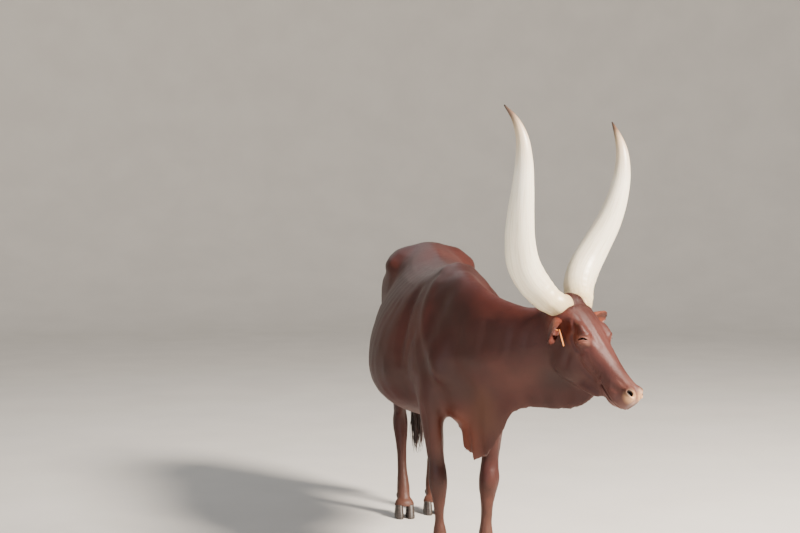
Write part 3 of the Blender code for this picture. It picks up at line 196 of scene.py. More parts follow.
def coat_material():
    """Short flat summer hair over dark skin: deep red-brown and glossy, with broad pale lights on it, and
    with painted light down the face and painted shade under the jaw, on the cheeks, on the brisket and in the
    nostrils.
    """
    made, tree = new_material("short_mahogany_coat")
    place = add_node(tree, "ShaderNodeTexCoord")
    at = {"Vector": (place, "Object")}
    # Broad drifts of colour, a hand's breadth to a metre across.
    drift = add_node(tree, "ShaderNodeTexNoise", {"Scale": 3.2, "Detail": 3.0, "Roughness": 0.55}, at)
    base = colour_ramp(tree, drift, "Fac", [(0.3, "33130D"), (0.52, "431B14"), (0.72, "53261E")])
    # Hair streaks, 2 mm wide and 18 mm long: along the trunk, upright on the legs, and finer down the nose.
    streaks = []
    for settings in (
        {"Scale": (55, 460, 460)},
        {"Scale": (460, 460, 55)},
        {"vector_type": "TEXTURE", "Rotation": HEAD_TURN.to_euler(), "Scale": (0.0115, 0.0016, 0.0016)},
    ):
        lie = add_node(tree, "ShaderNodeMapping", settings, at)
        links = {"Vector": (lie, "Vector")}
        strands = add_node(tree, "ShaderNodeTexNoise", {"Scale": 1.0, "Detail": 3.0}, links)
        streaks.append((strands, 0))
    parts = add_node(tree, "ShaderNodeSeparateXYZ", {}, at)
    legs = add_node(tree, "ShaderNodeMapRange", {"From Min": 0.72, "From Max": 0.55}, {"Value": (parts, "Z")})
    trunk = blended(tree, legs, streaks[0], streaks[1])
    head = patch(tree, place, in_head(0.24, 0, -0.08), 0.38, core=0.25)
    hair = blended(tree, head, (trunk, MIXED_NUMBER), streaks[2])
    hair_tone = colour_ramp(tree, hair, MIXED_NUMBER, [(0.34, "9A9A9A"), (0.5, "CCCCCC"), (0.66, "FFFFFF")])
    colour = toned(tree, base, hair_tone, 0.55)

    # Markings, painted light and painted shade: a name for each, its place, how far it reaches, how it is
    # stretched and its colour.
    pale = [
        # Painted light: a paler patch down the front of the face, where the light falls on it.
        ("face_painted_light", in_head(0.24, -0.03, 0.01), 0.2, (1.5, 0.8, 0.7), "4C221B"),
        ("muzzle", in_head(0.455, 0, -0.055), 0.1, (1, 1, 1), "6A443C"),
        ("muzzle_ring", in_head(0.499, 0.036, -0.022), 0.04, (1, 1, 1), "DDA878"),
        ("muzzle_ring_right", in_head(0.499, -0.036, -0.022), 0.04, (1, 1, 1), "DDA878"),
        ("between_nostrils", in_head(0.514, 0, -0.045), 0.024, (1, 1, 1), "A9806A"),
        ("lip", in_head(0.48, 0, -0.108), 0.045, (1, 1, 1), "7A4C3C"),
        ("eye_right", tuple(eye_point(-1, 0.004, -0.002, 0.018)), 0.036, (1, 1, 0.8), "8A5648"),
        ("eye_left", tuple(eye_point(1, 0.004, -0.002, 0.018)), 0.036, (1, 1, 0.8), "8A5648"),
        ("tear_right", in_head(0.226, -0.088, -0.012), 0.018, (1, 1, 1), "A07060"),
        ("tear_left", in_head(0.226, 0.088, -0.012), 0.018, (1, 1, 1), "A07060"),
        ("ear_right", in_head(0.075, -0.15, -0.055), 0.11, (1, 1, 1), "6A3020"),
        ("ear_left", in_head(0.045, 0.19, -0.045), 0.13, (1, 1, 1), "7A3A20"),
        ("brisket", on_body(0.62, -0.03, 0.58), 0.18, (1, 1, 1.1), "6A3524"),
        ("dewlap_dust", on_body(0.74, 0.02, 0.7), 0.15, (0.8, 1, 1.2), "553222"),
        ("belly", on_body(0.0, 0, 0.56), 0.34, (2.2, 1, 0.6), "59291C"),
        ("udder", on_body(-0.43, 0, 0.64), 0.15, (1, 1, 1), "8A5A47"),
    ]
    # Painted shade, not the coat's own colour: under the jaw on the throat, low on both cheeks, and on the
    # brisket between the forelegs.
    dark = [
        ("throat", in_head(0.2, 0, -0.25), 0.12, (1.6, 1, 0.7), "230E0A"),
        ("cheek_shade_right", in_head(0.15, -0.1, -0.13), 0.15, (1.1, 0.8, 0.9), "34140D"),
        ("cheek_shade_left", in_head(0.15, 0.1, -0.13), 0.15, (1.1, 0.8, 0.9), "34140D"),
        ("brisket_shade", on_body(0.66, 0.00, 0.8), 0.12, (1, 1, 0.8), "2C130D"),
    ]
    # The pale patches are the coat's own markings, except the painted light down the face. The dark patches
    # are all painted shade.
    for marks_and_painted_light, strength in ((pale, 0.75), (dark, 0.6)):
        for _, centre, reach, stretch, code in marks_and_painted_light:
            colour = marked(tree, patch(tree, place, centre, reach, stretch, strength), colour, code)
    # Dark round the slit between the lids, and painted shade inside the nostrils, near black deep in their
    # hollows.
    for side in SIDES.values():
        tilt = tuple(eye_frame(side).to_3x3().normalized().to_euler())
        rim = tuple(eye_point(side, 0, -0.001, 0.012))
        lids = patch(tree, place, rim, 1, (0.0222, 0.016, 0.007), turn=tilt, core=0.22)
        colour = marked(tree, lids, colour, "24120F")
        # Painted shade: the hollow of the nostril painted near black.
        inward = tuple(nostril_point(side, math.pi / 2, 0, 0.016))
        colour = marked(tree, patch(tree, place, inward, 0.0215, core=0.22), colour, "150A08")
    # Dust from the ground up to the knees.
    settings = {"From Min": 0.42, "From Max": 0.06, "To Max": 0.42}
    dust = add_node(tree, "ShaderNodeMapRange", settings, {"Value": (parts, "Z")})
    colour = marked(tree, dust, colour, "6E4E3E")
    settings = {"Strength": 0.7, "Distance": 0.0012}
    bump = add_node(tree, "ShaderNodeBump", settings, {"Height": (hair, MIXED_NUMBER)})
    gloss = add_node(tree, "ShaderNodeMapRange", {"To Min": 0.4, "To Max": 0.56}, {"Value": (drift, "Fac")})
    settings = {"IOR": 1.45, "Sheen Weight": 0.02, "Sheen Roughness": 0.45, "Specular IOR Level": 0.4}
    links = {"Base Color": (colour, MIXED_COLOUR), "Normal": (bump, "Normal"), "Roughness": (gloss, "Result")}
    surfaced(tree, settings, links)
    return made


def horn_material():
    """Cow horn: dry keratin, cream and slightly waxy, with fine lengthwise grain and a smoky tip."""
    made, tree = new_material("cream_horn")
    along = add_node(tree, "ShaderNodeUVMap", {"uv_map": "along"})
    parts = add_node(tree, "ShaderNodeSeparateXYZ", {}, {"Vector": (along, "UV")})
    stops = [(0.0, "B9A27C"), (0.07, "DDCDA6"), (0.2, "F0E8D2"), (0.7, "F3EDDD")]
    stops += [(0.88, "CBB79B"), (0.95, "6E5646"), (1.0, "33261F")]
    tone = colour_ramp(tree, parts, "X", stops)
    lie = add_node(tree, "ShaderNodeMapping", {"Scale": (7, 55, 1)}, {"Vector": (along, "UV")})
    grain = add_node(tree, "ShaderNodeTexNoise", {"Scale": 1.0, "Detail": 4.0}, {"Vector": (lie, "Vector")})
    grain_tone = colour_ramp(tree, grain, "Fac", [(0.3, "B8A888"), (0.55, "F2EEE6"), (0.8, "FFFFFF")])
    colour = toned(tree, tone, grain_tone, 0.45)
    settings = {"Strength": 0.35, "Distance": 0.0008}
    bump = add_node(tree, "ShaderNodeBump", settings, {"Height": (grain, "Fac")})
    settings = {"Roughness": 0.36, "IOR": 1.54, "Subsurface Weight": 0.08, "Subsurface Scale": 0.01}
    surfaced(tree, settings, {"Base Color": (colour, MIXED_COLOUR), "Normal": (bump, "Normal")})
    return made


# Finishes of two close tones: both tones, the grains to the metre, roughness, depth of grain, squeeze
# along each axis.
GRAINED = {
    # Wet cornea over a dark iris: almost black, and so smooth that it mirrors the lights.
    "wet_dark_eye": ("0E0806", "1C100B", 30, 0.06, 0.0001, (1, 1, 1)),
    # Hoof horn, grown in level bands and worn by the ground: dark grey with a soft dull shine.
    "worn_hoof": ("27211E", "453C36", 45, 0.5, 0.0006, (1, 1, 4)),
    # Moulded soft plastic: one even orange with a dim, slightly waxy shine.
    "moulded_tag": ("C47A42", "D08A50", 8, 0.38, 0.0005, (1, 1, 1)),
    # Coarse hair, grown in long strands: near black, with narrow upright lights.
    "dark_switch_hair": ("1B0F0C", "3A1E17", 160, 0.45, 0.0006, (1, 1, 0.12)),
    # Rolled paint on a smooth floor: pale and matt, with a faint drift of tone.
    "pale_floor": ("D5D2CC", "DAD7D1", 2.0, 0.9, 0.0005, (1, 1, 1)),
}


def grained_material(name):
    """One of the finishes of two close tones in a fine grain."""
    low, high, scale, roughness, depth, squeeze = GRAINED[name]
    made, tree = new_material(name)
    place = add_node(tree, "ShaderNodeTexCoord")
    lie = add_node(tree, "ShaderNodeMapping", {"Scale": squeeze}, {"Vector": (place, "Object")})
    grain = add_node(tree, "ShaderNodeTexNoise", {"Scale": scale, "Detail": 4.0}, {"Vector": (lie, "Vector")})
    colour = colour_ramp(tree, grain, "Fac", [(0.35, low), (0.65, high)])
    bump = add_node(tree, "ShaderNodeBump", {"Strength": 0.5, "Distance": depth}, {"Height": (grain, "Fac")})
    surfaced(tree, {"Roughness": roughness}, {"Base Color": (colour, "Color"), "Normal": (bump, "Normal")})
    return made


# Meshes


def new_object(name, mesh, finish=None):
    obj = bpy.data.objects.new(name, mesh)
    bpy.context.scene.collection.objects.link(obj)
    mesh.materials.clear()
    if finish is not None:
        mesh.materials.append(finish)
    mesh.polygons.foreach_set("use_smooth", np.ones(len(mesh.polygons), bool))
    return obj


def from_lists(name, points, faces):
    mesh = bpy.data.meshes.new(name)
    mesh.from_pydata([tuple(p) for p in points], [], faces)
    return mesh


def lofted(name, rings, finish=None, loop=False):
    """A closed surface over rings of equal count. A loop joins its last ring to its first."""
    sides, count = len(rings[0]), len(rings)
    faces = []
    for i in range(count if loop else count - 1):
        low, high = i * sides, (i + 1) % count * sides
        for k in range(sides):
            j = (k + 1) % sides
            faces.append([low + k, low + j, high + j, high + k])
    if not loop:
        faces.append(list(range(sides))[::-1])
        faces.append([(count - 1) * sides + k for k in range(sides)])
    mesh = from_lists(name, [p for points in rings for p in points], faces)
    return outward(new_object(name, mesh, finish))


def outward(obj):
    """Turns every face of a closed piece to point out."""
    made = bmesh.new()
    made.from_mesh(obj.data)
    bmesh.ops.recalc_face_normals(made, faces=made.faces)
    if made.calc_volume(signed=True) < 0:
        bmesh.ops.reverse_faces(made, faces=made.faces)
    made.to_mesh(obj.data)
    made.free()
    return obj


def carve(skin, cutter, operation="DIFFERENCE"):
    """Cuts a shape out of the skin, or joins one to it."""
    step = skin.modifiers.new("carve", "BOOLEAN")
    step.operation = operation
    step.solver = "MANIFOLD"
    step.object = cutter
    bpy.context.view_layer.objects.active = skin
    bpy.ops.object.modifier_apply(modifier="carve")
    bpy.data.objects.remove(cutter, do_unlink=True)


def fused(names, cell):
    """One closed surface round the named nodes, each first grown a little so that the thin cuts close."""
    gathered = bmesh.new()
    for name in names:
        piece = bmesh.new()
        piece.from_mesh(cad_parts[name].data)
        bmesh.ops.remove_doubles(piece, verts=piece.verts, dist=1e-5)
        piece.normal_update()
        for vert in piece.verts:
            vert.co += vert.normal * CUT_CLOSED
        mesh = bpy.data.meshes.new(name)
        piece.to_mesh(mesh)
        piece.free()
        gathered.from_mesh(mesh)
        bpy.data.meshes.remove(mesh)
    mesh = bpy.data.meshes.new("fused")
    gathered.to_mesh(mesh)
    gathered.free()
    obj = bpy.data.objects.new("fused", mesh)
    bpy.context.scene.collection.objects.link(obj)
    step = obj.modifiers.new("remesh", "REMESH")
    step.mode = "VOXEL"
    step.voxel_size = cell
    graph = bpy.context.evaluated_depsgraph_get()
    result = bpy.data.meshes.new_from_object(obj.evaluated_get(graph))
    bpy.data.objects.remove(obj, do_unlink=True)
    return result


def nearest_on_path(points, path):
    """Distance from each point to a polyline, and how far along the line its foot lies, 0 to 1."""
    best = np.full(len(points), 1e9)
    along = np.zeros(len(points))
    lengths = np.linalg.norm(np.diff(path, axis=0), axis=1)
    before = np.concatenate([[0], np.cumsum(lengths)])
    for i, length in enumerate(lengths):
        run = path[i + 1] - path[i]
        t = np.clip(((points - path[i]) @ run) / max(length, 1e-6) ** 2, 0, 1)
        away = np.linalg.norm(points - path[i] - t[:, None] * run, axis=1)
        closer = away < best
        best[closer] = away[closer]
        along[closer] = (before[i] + t[closer] * length) / before[-1]
    return best, along


def curve_through(points, count):
    """Evenly spaced places on a smooth curve through a few points."""
    rows = np.array([tuple(p) for p in points], float)
    at = np.concatenate([[0], np.cumsum(np.linalg.norm(np.diff(rows[:, :3], axis=0), axis=1))])
    slopes = np.gradient(rows, at, axis=0)
    wanted = np.linspace(0, at[-1], count)
    span = np.clip(np.searchsorted(at, wanted, side="right") - 1, 0, len(at) - 2)
    width = (at[span + 1] - at[span])[:, None]
    t = (wanted - at[span])[:, None] / width
    start, end = rows[span], rows[span + 1]
    return (
        (2 * t**3 - 3 * t**2 + 1) * start
        + (t**3 - 2 * t**2 + t) * width * slopes[span]
        + (3 * t**2 - 2 * t**3) * end
        + (t**3 - t**2) * width * slopes[span + 1]
    )


class Clay:
    """A mesh held as arrays while it is eased, raised, pressed and creased."""

    PULL_IN = 0.5
    PUSH_OUT = 0.53
    # How far forms reach: an oval in squares of its own radii, a line in its own widths.
    OVAL_REACH = 6
    LINE_REACH = 2.6

    def __init__(self, mesh):
        self.mesh = mesh
        self.surface = None
        self.points = np.empty(len(mesh.vertices) * 3)
        mesh.vertices.foreach_get("co", self.points)
        self.points = self.points.reshape(-1, 3)
        edges = np.empty(len(mesh.edges) * 2, np.int64)
        mesh.edges.foreach_get("vertices", edges)
        self.edges = edges.reshape(-1, 2)
        self.valence = np.bincount(edges, minlength=len(self.points))

    def store(self):
        self.mesh.vertices.foreach_set("co", self.points.astype(np.float32).ravel())
        self.mesh.update()

    def normals(self):
        self.store()
        found = np.empty(len(self.points) * 3, np.float32)
        self.mesh.vertex_normals.foreach_get("vector", found)
        return found.reshape(-1, 3).astype(float)

    def pull(self):
        """How far each point lies from the mean of its neighbours."""
        total = np.zeros_like(self.points)
        count = len(self.points)
        first, second = self.edges[:, 0], self.edges[:, 1]
        for axis in range(3):
            column = self.points[:, axis]
            total[:, axis] = np.bincount(first, column[second], count)
            total[:, axis] += np.bincount(second, column[first], count)
        return total / self.valence[:, None] - self.points

    def ease(self, rounds, weight=None):
        """Smooths without shrinking: each pull inwards is followed by a slightly larger push back."""
        weight = 1.0 if weight is None else weight[:, None]
        for _ in range(rounds):
            self.points += self.PULL_IN * weight * self.pull()
            self.points -= self.PUSH_OUT * weight * self.pull()

    def soften(self, rounds, weight):
        for _ in range(rounds):
            self.points += self.PULL_IN * weight[:, None] * self.pull()

    def press(self, centre, radii, amount, turn=None):
        """Raises, or with a negative amount presses in, an oval patch about a place."""
        away = self.points - np.array(tuple(centre))
        if turn is not None:
            away = away @ np.array(turn)
        reach = ((away / np.array(radii)) ** 2).sum(axis=1)
        near = reach < self.OVAL_REACH
        self.points[near] += (amount * np.exp(-reach[near]))[:, None] * self.normals()[near]

    def ridge(self, path, width, amount, fade=0.5):
        """Raises or presses a soft line over the surface along a path near it, fading at its ends."""
        if self.surface is None:
            self.store()
            self.surface = tree_of(self.mesh)
        seats = [self.surface.find_nearest(Vector(spot))[0] for spot in curve_through(path, 4 * len(path))]
        seats = np.array([tuple(seat) for seat in seats])
        reach = self.LINE_REACH * width
        inside = (self.points > seats.min(axis=0) - reach) & (self.points < seats.max(axis=0) + reach)
        near = np.nonzero(inside.all(axis=1))[0]
        away, along = nearest_on_path(self.points[near], seats)
        share = np.sin(np.clip(along, 0, 1) * math.pi) ** fade * np.exp(-((away / width) ** 2))
        self.points[near] += (amount * share)[:, None] * self.normals()[near]


def in_frame(points, place):
    """Points as the numbers that they have in a frame of their own."""
    back = np.array(place.inverted())
    return points @ back[:3, :3].T + back[:3, 3]


def away_from(at, x, y, z):
    """How far points of head space lie from a place on her left, or from its mirror on her right."""
    return np.linalg.norm(np.stack([at[:, 0] - x, np.abs(at[:, 1]) - y, at[:, 2] - z], 1), axis=1)


def cut_finer(mesh, chosen):
    """Cuts the chosen faces of a mesh in four. The choice reads the faces' middles."""
    made = bmesh.new()
    made.from_mesh(mesh)
    picked = chosen(np.array([tuple(face.calc_center_median()) for face in made.faces]))
    edges = {edge for face, wanted in zip(made.faces, picked) if wanted for edge in face.edges}
    bmesh.ops.subdivide_edges(made, edges=list(edges), cuts=1, use_grid_fill=True)
    made.to_mesh(mesh)
    made.free()


def tree_of(mesh):
    made = bmesh.new()
    made.from_mesh(mesh)
    tree = BVHTree.FromBMesh(made)
    made.free()
    return tree


def form_of(names, rounds):
    """A fine smooth surface round some nodes, for the skin to be pressed against."""
    mesh = fused(names, FINE_CELL)
    clay = Clay(mesh)
    clay.ease(rounds)
    clay.store()
    return tree_of(mesh)


def eye_nose_and_lips(points):
    """The parts of the face that are cut finest."""
    at = in_frame(points, HEAD)
    eye = away_from(at, 0.197, 0.094, -0.018) < 0.046
    nose = away_from(at, 0.49, 0.043, -0.012) < 0.036
    lips = (at[:, 0] > 0.35) & (at[:, 2] < -0.08) & (at[:, 2] > -0.118)
    return (on_head(points) > 0.5) & (eye | nose | lips)


def make_skin(finish):
    """The skin over all the flesh, finest at the eyes, the nose and the lips."""
    head_form = form_of(["head", "neck"] + EYES, 3)
    leg_form = form_of(LEGS, 6)
    mesh = fused(FLESH + EYES, SKIN_CELL)
    clay = Clay(mesh)
    clay.ease(20, (1 - 0.85 * on_head(clay.points)) * (1 - on_feet(clay.points)))
    clay.store()
    cut_finer(mesh, lambda centres: on_head(centres) > 0.5)
    cut_finer(mesh, lambda centres: on_feet(centres) > 0.5)
    cut_finer(mesh, eye_nose_and_lips)
    cut_finer(mesh, eye_nose_and_lips)
    clay = Clay(mesh)
    for share, form in ((on_head(clay.points), head_form), (on_feet(clay.points), leg_form)):
        for i in np.nonzero(share > 0)[0]:
            spot, _, _, _ = form.find_nearest(Vector(clay.points[i]), FORM_REACH)
            if spot is not None:
                clay.points[i] += share[i] * (np.array(tuple(spot)) - clay.points[i])
        clay.ease(5, share)
    model_body(clay)
    model_head(clay)
    clay.points -= clay.normals() * (COAT_DEPTH + SKIN_INSIDE)
    cover_hooves(clay)
    clay.store()
    skin = new_object("skin", mesh, finish)
    surface = tree_of(mesh)
    for side in SIDES.values():
        open_eye(skin, surface, side)
        carve(skin, nostril_hollow(side))
    carve(skin, mouth_line(surface))
    join_ears(skin)
    skin.data.set_sharp_from_angle(angle=SHARP_EDGE)
    return skin


def on_head(points):
    """1 on the face and jaw, falling to 0 behind the horns and below the throat."""
    at = in_frame(points, HEAD)
    share = np.clip((at[:, 0] + 0.03) / 0.04, 0, 1)
    return share * ((at[:, 0] < 0.6) & (np.abs(at[:, 1]) < 0.16) & (at[:, 2] > -0.27) & (at[:, 2] < 0.12))


def on_feet(points):
    """1 from the hooves up to the fetlocks, falling to 0 above them."""
    return np.clip((0.21 - points[:, 2]) / 0.05, 0, 1)


# How far from the middle of a foot its flesh lies at most, how far above the claws it starts to widen,
# over what height it does so, up to where it laps down over them, and how far down it laps.
FOOT_REACH = 0.11
BAND_TOP = 0.034
BAND_HEIGHT = 0.03
LAP_TOP = 0.012
LAP_DEPTH = 0.008


def cover_hooves(clay):
    """The end of each leg widens into the band from which the hoof grows, and laps over its top."""
    for foot in FEET:
        claws = [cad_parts[f"claw_{foot}_{toe}"] for toe in ("inner", "outer")]
        spots = np.array([tuple(vert.co) for claw in claws for vert in claw.data.vertices])
        height = spots[:, 2].max()
        rim = spots[spots[:, 2] > height - 0.004][:, :2]
        centre = (rim.min(axis=0) + rim.max(axis=0)) / 2
        radii = (rim.max(axis=0) - rim.min(axis=0)) / 2 * 1.06 + 0.002
        away = clay.points[:, :2] - centre
        this_foot = np.linalg.norm(away, axis=1) < FOOT_REACH
        share = np.clip((height + BAND_TOP - clay.points[:, 2]) / BAND_HEIGHT, 0, 1)
        share = share * share * (3 - 2 * share) * this_foot
        spread = np.linalg.norm(away / radii, axis=1) + 1e-9
        wide = np.where((spread < 1) & (spread > 0.55), 1 / spread, 1.0)
        clay.points[:, :2] += share[:, None] * away * (wide - 1)[:, None]
        clay.points[:, 2] -= LAP_DEPTH * share * (clay.points[:, 2] < height + LAP_TOP)
        band = (np.abs(clay.points[:, 2] - height - LAP_TOP) < 0.022) & this_foot
        clay.soften(3, band * 0.8)


# Ribs, from the foremost back, and one of them from the back down: how far behind its top, out and up.
RIBS = 10
RIB_FIRST = 0.3
RIB_STEP = 0.066
RIB_LINE = [(0, 0.1, 1.24), (0.03, 0.24, 1.12), (0.06, 0.32, 0.93), (0.05, 0.3, 0.76), (0.01, 0.2, 0.66)]
# Soft lines on each side: the edge of the shoulder blade, the cleft behind it and the groove across it,
# the fold of the flank and the groove down the thigh. A line is its places, measured from the floor under
# the middle of the barrel, its width, and how far it stands up or, below 0, is pressed in.
TRUNK_LINES = [
    ([(0.4, 0.1, 1.26), (0.48, 0.18, 1.06), (0.58, 0.19, 0.93)], 0.03, 0.007),
    ([(0.3, 0.14, 1.22), (0.31, 0.22, 1.05), (0.31, 0.24, 0.85)], 0.03, -0.009),
    ([(0.44, 0.2, 1.02), (0.38, 0.23, 0.92), (0.37, 0.22, 0.82)], 0.018, -0.005),
    ([(-0.36, 0.25, 0.95), (-0.38, 0.23, 0.8), (-0.4, 0.18, 0.69)], 0.022, -0.006),
    ([(-0.8, 0.1, 1.1), (-0.76, 0.18, 0.95), (-0.7, 0.17, 0.8)], 0.02, -0.005),
]
# Hollows in front of the hip and beside the root of the tail: places, radii and depths.
TRUNK_HOLLOWS = [
    ((-0.36, 0.22, 1.16), (0.08, 0.12, 0.07), -0.01),
    ((-0.86, 0.07, 1.22), (0.04, 0.03, 0.05), -0.008),
]
# The knee of a foreleg, and its forms: how far ahead of it, out from it and up, their radii and height.
KNEE_AHEAD = 0.508
KNEE_OUT = 0.11
KNEE_FORMS = [
    (0.045, 0, 0.385, (0.035, 0.04, 0.034), 0.006),
    (0, 0.045, 0.388, (0.03, 0.02, 0.028), 0.004),
    (0.04, 0, 0.455, (0.03, 0.04, 0.026), -0.004),
    (0.04, 0, 0.305, (0.03, 0.04, 0.024), -0.004),
]
# Pleats down the front of the brisket: how far to her left, and how high.
PLEATS = [(-0.075, 0.52), (-0.045, 0.49), (-0.01, 0.48), (0.03, 0.5)]
# Creases across the neck: the share of the way from the head to the shoulder, width and depth.
NECK_CREASES = [
    (0, 0.013, 0.0014),
    (0.21, 0.019, 0.0026),
    (0.38, 0.012, 0.001),
    (0.62, 0.022, 0.003),
    (1, 0.015, 0.0022),
]


def body(path, side=1):
    return [Vector((x, side * y, z)) + SHIFT for x, y, z in path]


def model_body(clay):
    """Ribs, hips, shoulder, leg tendons, and the folds of neck, dewlap and flank."""
    for side in SIDES.values():
        for i in range(RIBS):
            top = RIB_FIRST - RIB_STEP * i
            clay.ridge(body([(top - behind, y, z) for behind, y, z in RIB_LINE], side), 0.024, 0.002)
        for path, width, amount in TRUNK_LINES:
            clay.ridge(body(path, side), width, amount)
        for place, radii, amount in TRUNK_HOLLOWS:
            clay.press(body([place], side)[0], radii, amount)
        for ahead, out, height, radii, amount in KNEE_FORMS:
            clay.press(body([(KNEE_AHEAD + ahead, KNEE_OUT + out, height)], side)[0], radii, amount)
        aside = side * KNEE_OUT
        for edge in (-1, 1):
            tendon = [(KNEE_AHEAD - 0.01, aside + edge * 0.032, z) for z in (0.34, 0.27, 0.2, 0.15)]
            clay.ridge(body(tendon), 0.008, -0.0034)
            arm = [(KNEE_AHEAD + 0.02, aside + edge * 0.05, z) for z in (0.72, 0.62, 0.52, 0.46)]
            clay.ridge(body(arm), 0.014, -0.0045)
    neck_folds(clay)
    for across, low in PLEATS:
        pleat = [(0.9, across, low + 0.16), (0.9, across - 0.004, low + 0.08), (0.9, across, low - 0.02)]
        clay.ridge(body(pleat), 0.01, -0.007, 0.8)


def neck_folds(clay):
    """Soft creases of uneven depth across the side of the neck, where it bends."""
    for side in SIDES.values():
        for share, wide, depth in NECK_CREASES:
            x, y = 0.93 - 0.25 * share, 0.235 - 0.17 * share
            lean, drop, reach = 0.02 + 0.03 * share, 0.2 + 0.08 * share, 0.075 + 0.03 * share
            bend = 0.75 - 0.3 * share
            out = Vector((-math.sin(bend), math.cos(bend), 0)) * side
            shares = np.linspace(0, 1, 5)
            path = [Vector((x - lean * t, y - lean * t, 1.1 - drop * t)) + out * reach for t in shares]
            clay.ridge([p + SHIFT for p in path], wide, -depth)


# Lines of the lids, above the slit and then below it: how far up, the half length in slits, how far
# forward, the width, and how far they stand up or, below 0, are pressed in.
LID_LINES = [
    (0.0125, 1.1, 0, 0.0028, -0.0038),
    (0.0195, 1.1, 0, 0.005, 0.002),
    (0.0262, 1.0, 0, 0.0042, -0.0018),
    (-0.0115, 1.1, 0, 0.0024, -0.0028),
    (-0.0185, 1.1, 0.002, 0.0052, 0.0032),
    (-0.0262, 1.2, 0.004, 0.003, -0.0026),
]
# Creases at the corners of the eye: places along and up from its middle, how far out, width and height.
CORNER_LINES = [
    ([(0.018, -0.002), (0.027, -0.006), (0.04, -0.012)], 0.019, 0.003, -0.0036),
    ([(-0.018, -0.003), (-0.026, -0.006), (-0.036, -0.011)], 0.017, 0.0028, -0.0032),
]
# Lines of the face in head space: places, width and height. Round the eye, these are the deep groove that
# runs from the temple round the back of the socket and under it, the edge inside it, and the brow bone.
SOCKET_GROOVE = [
    (0.1, 0.09, 0.006), (0.118, 0.097, -0.006), (0.141, 0.102, -0.02), (0.151, 0.102, -0.042),
    (0.169, 0.1, -0.053), (0.19, 0.096, -0.063), (0.216, 0.088, -0.065), (0.24, 0.08, -0.056),
]
SOCKET_LINES = [
    (SOCKET_GROOVE, 0.0075, -0.0062),
    ([(0.166, 0.1, -0.04), (0.19, 0.098, -0.049), (0.218, 0.09, -0.049)], 0.009, 0.0036),
    ([(0.128, 0.086, 0.014), (0.16, 0.094, 0.014), (0.196, 0.086, 0.01)], 0.011, 0.0045),
]
# The groove down the side of the forehead and the bone beside it, the edge where the flat of the face
# turns down into the cheek and the hollow below it, the vein beside it, and the front of the jaw muscle.
FACE_LINES = [
    (
        [(0.06, 0.056, 0.036), (0.12, 0.056, 0.032), (0.18, 0.052, 0.026), (0.26, 0.044, 0.012)],
        0.012,
        -0.0046,
    ),
    ([(0.01, 0.03, 0.034), (0.1, 0.026, 0.036), (0.21, 0.024, 0.024), (0.33, 0.02, 0.006)], 0.012, 0.0034),
    (
        [(0.222, 0.084, -0.06), (0.262, 0.074, -0.078), (0.312, 0.064, -0.084), (0.362, 0.06, -0.08)],
        0.011,
        0.0042,
    ),
    (
        [(0.216, 0.084, -0.08), (0.254, 0.072, -0.102), (0.306, 0.06, -0.108), (0.345, 0.056, -0.106)],
        0.01,
        -0.005,
    ),
    (
        [(0.236, 0.086, -0.03), (0.262, 0.078, -0.05), (0.3, 0.07, -0.056), (0.35, 0.064, -0.052)],
        0.0034,
        0.0018,
    ),
    ([(0.18, 0.096, -0.09), (0.196, 0.088, -0.13), (0.214, 0.066, -0.172)], 0.014, -0.0042),
]
# The corner of the mouth, and behind the nostril the fold that runs back and the groove above the lip.
CORNER_OF_MOUTH = ([(0.352, 0.06, -0.074), (0.37, 0.06, -0.084), (0.376, 0.058, -0.096)], 0.006, 0.0036)
NOSE_LINES = [
    ([(0.462, 0.05, 0.000), (0.436, 0.05, -0.004), (0.402, 0.05, -0.012)], 0.006, -0.0036),
    ([(0.47, 0.06, -0.03), (0.44, 0.062, -0.044), (0.405, 0.06, -0.056)], 0.01, -0.0034),
]
# Down the middle of the nose and of the upper lip, as X and Z of head space.
MIDDLE_LINES = [
    ([(0.44, 0.004), (0.49, -0.006), (0.512, -0.05)], 0.005, -0.0028),
    ([(0.51, -0.06), (0.508, -0.08), (0.5, -0.096)], 0.003, -0.0022),
]


def face_side(spots, side):
    """Places of head space on one side of the face."""
    return [HEAD @ Vector((x, side * y, z)) for x, y, z in spots]


def model_head(clay):
    """Brow, lids, tear groove, cheek, nose, nostrils, lips and small creases."""
    at = in_frame(clay.points, HEAD)
    # The hollows of nostrils, slits and lips are filled here and cut again, finer, once the skin is whole.
    clay.soften(60, np.clip(1.6 - away_from(at, 0.198, 0.094, -0.016) / 0.026, 0, 1))
    clay.soften(50, np.clip(1.6 - away_from(at, 0.49, 0.044, -0.012) / 0.025, 0, 1))
    lips = (at[:, 0] > 0.345) & (at[:, 2] < -0.084) & (at[:, 2] > -0.114)
    clay.soften(24, lips * on_head(clay.points))
    throat = (at[:, 0] > -0.02) & (at[:, 0] < 0.3) & (at[:, 2] < -0.15) & (np.abs(at[:, 1]) < 0.14)
    clay.soften(10, throat * 1.0)
    for side in SIDES.values():
        model_eye(clay, side)
        model_cheek(clay, side)
        model_mouth(clay, side)
    for path, width, amount in MIDDLE_LINES:
        clay.ridge([HEAD @ Vector((x, 0, z)) for x, z in path], width, amount)


def model_eye(clay, side):
    """The bulge of the ball, two folds above the upper lid, and the bag under the lower one."""
    turn = np.array(eye_frame(side).to_3x3().normalized())
    clay.press(eye_point(side, 0, 0, 0.02), (0.03, 0.03, 0.022), 0.005, turn)
    for up, reach, forward, width, amount in LID_LINES:
        shares = np.linspace(-reach, reach, 11)
        lid = [eye_point(side, 0.021 * t + forward, up - 0.006 * t * t, 0.0215) for t in shares]
        clay.ridge(lid, width, amount)
    for path, out, width, amount in CORNER_LINES:
        clay.ridge([eye_point(side, along, up, out) for along, up in path], width, amount)


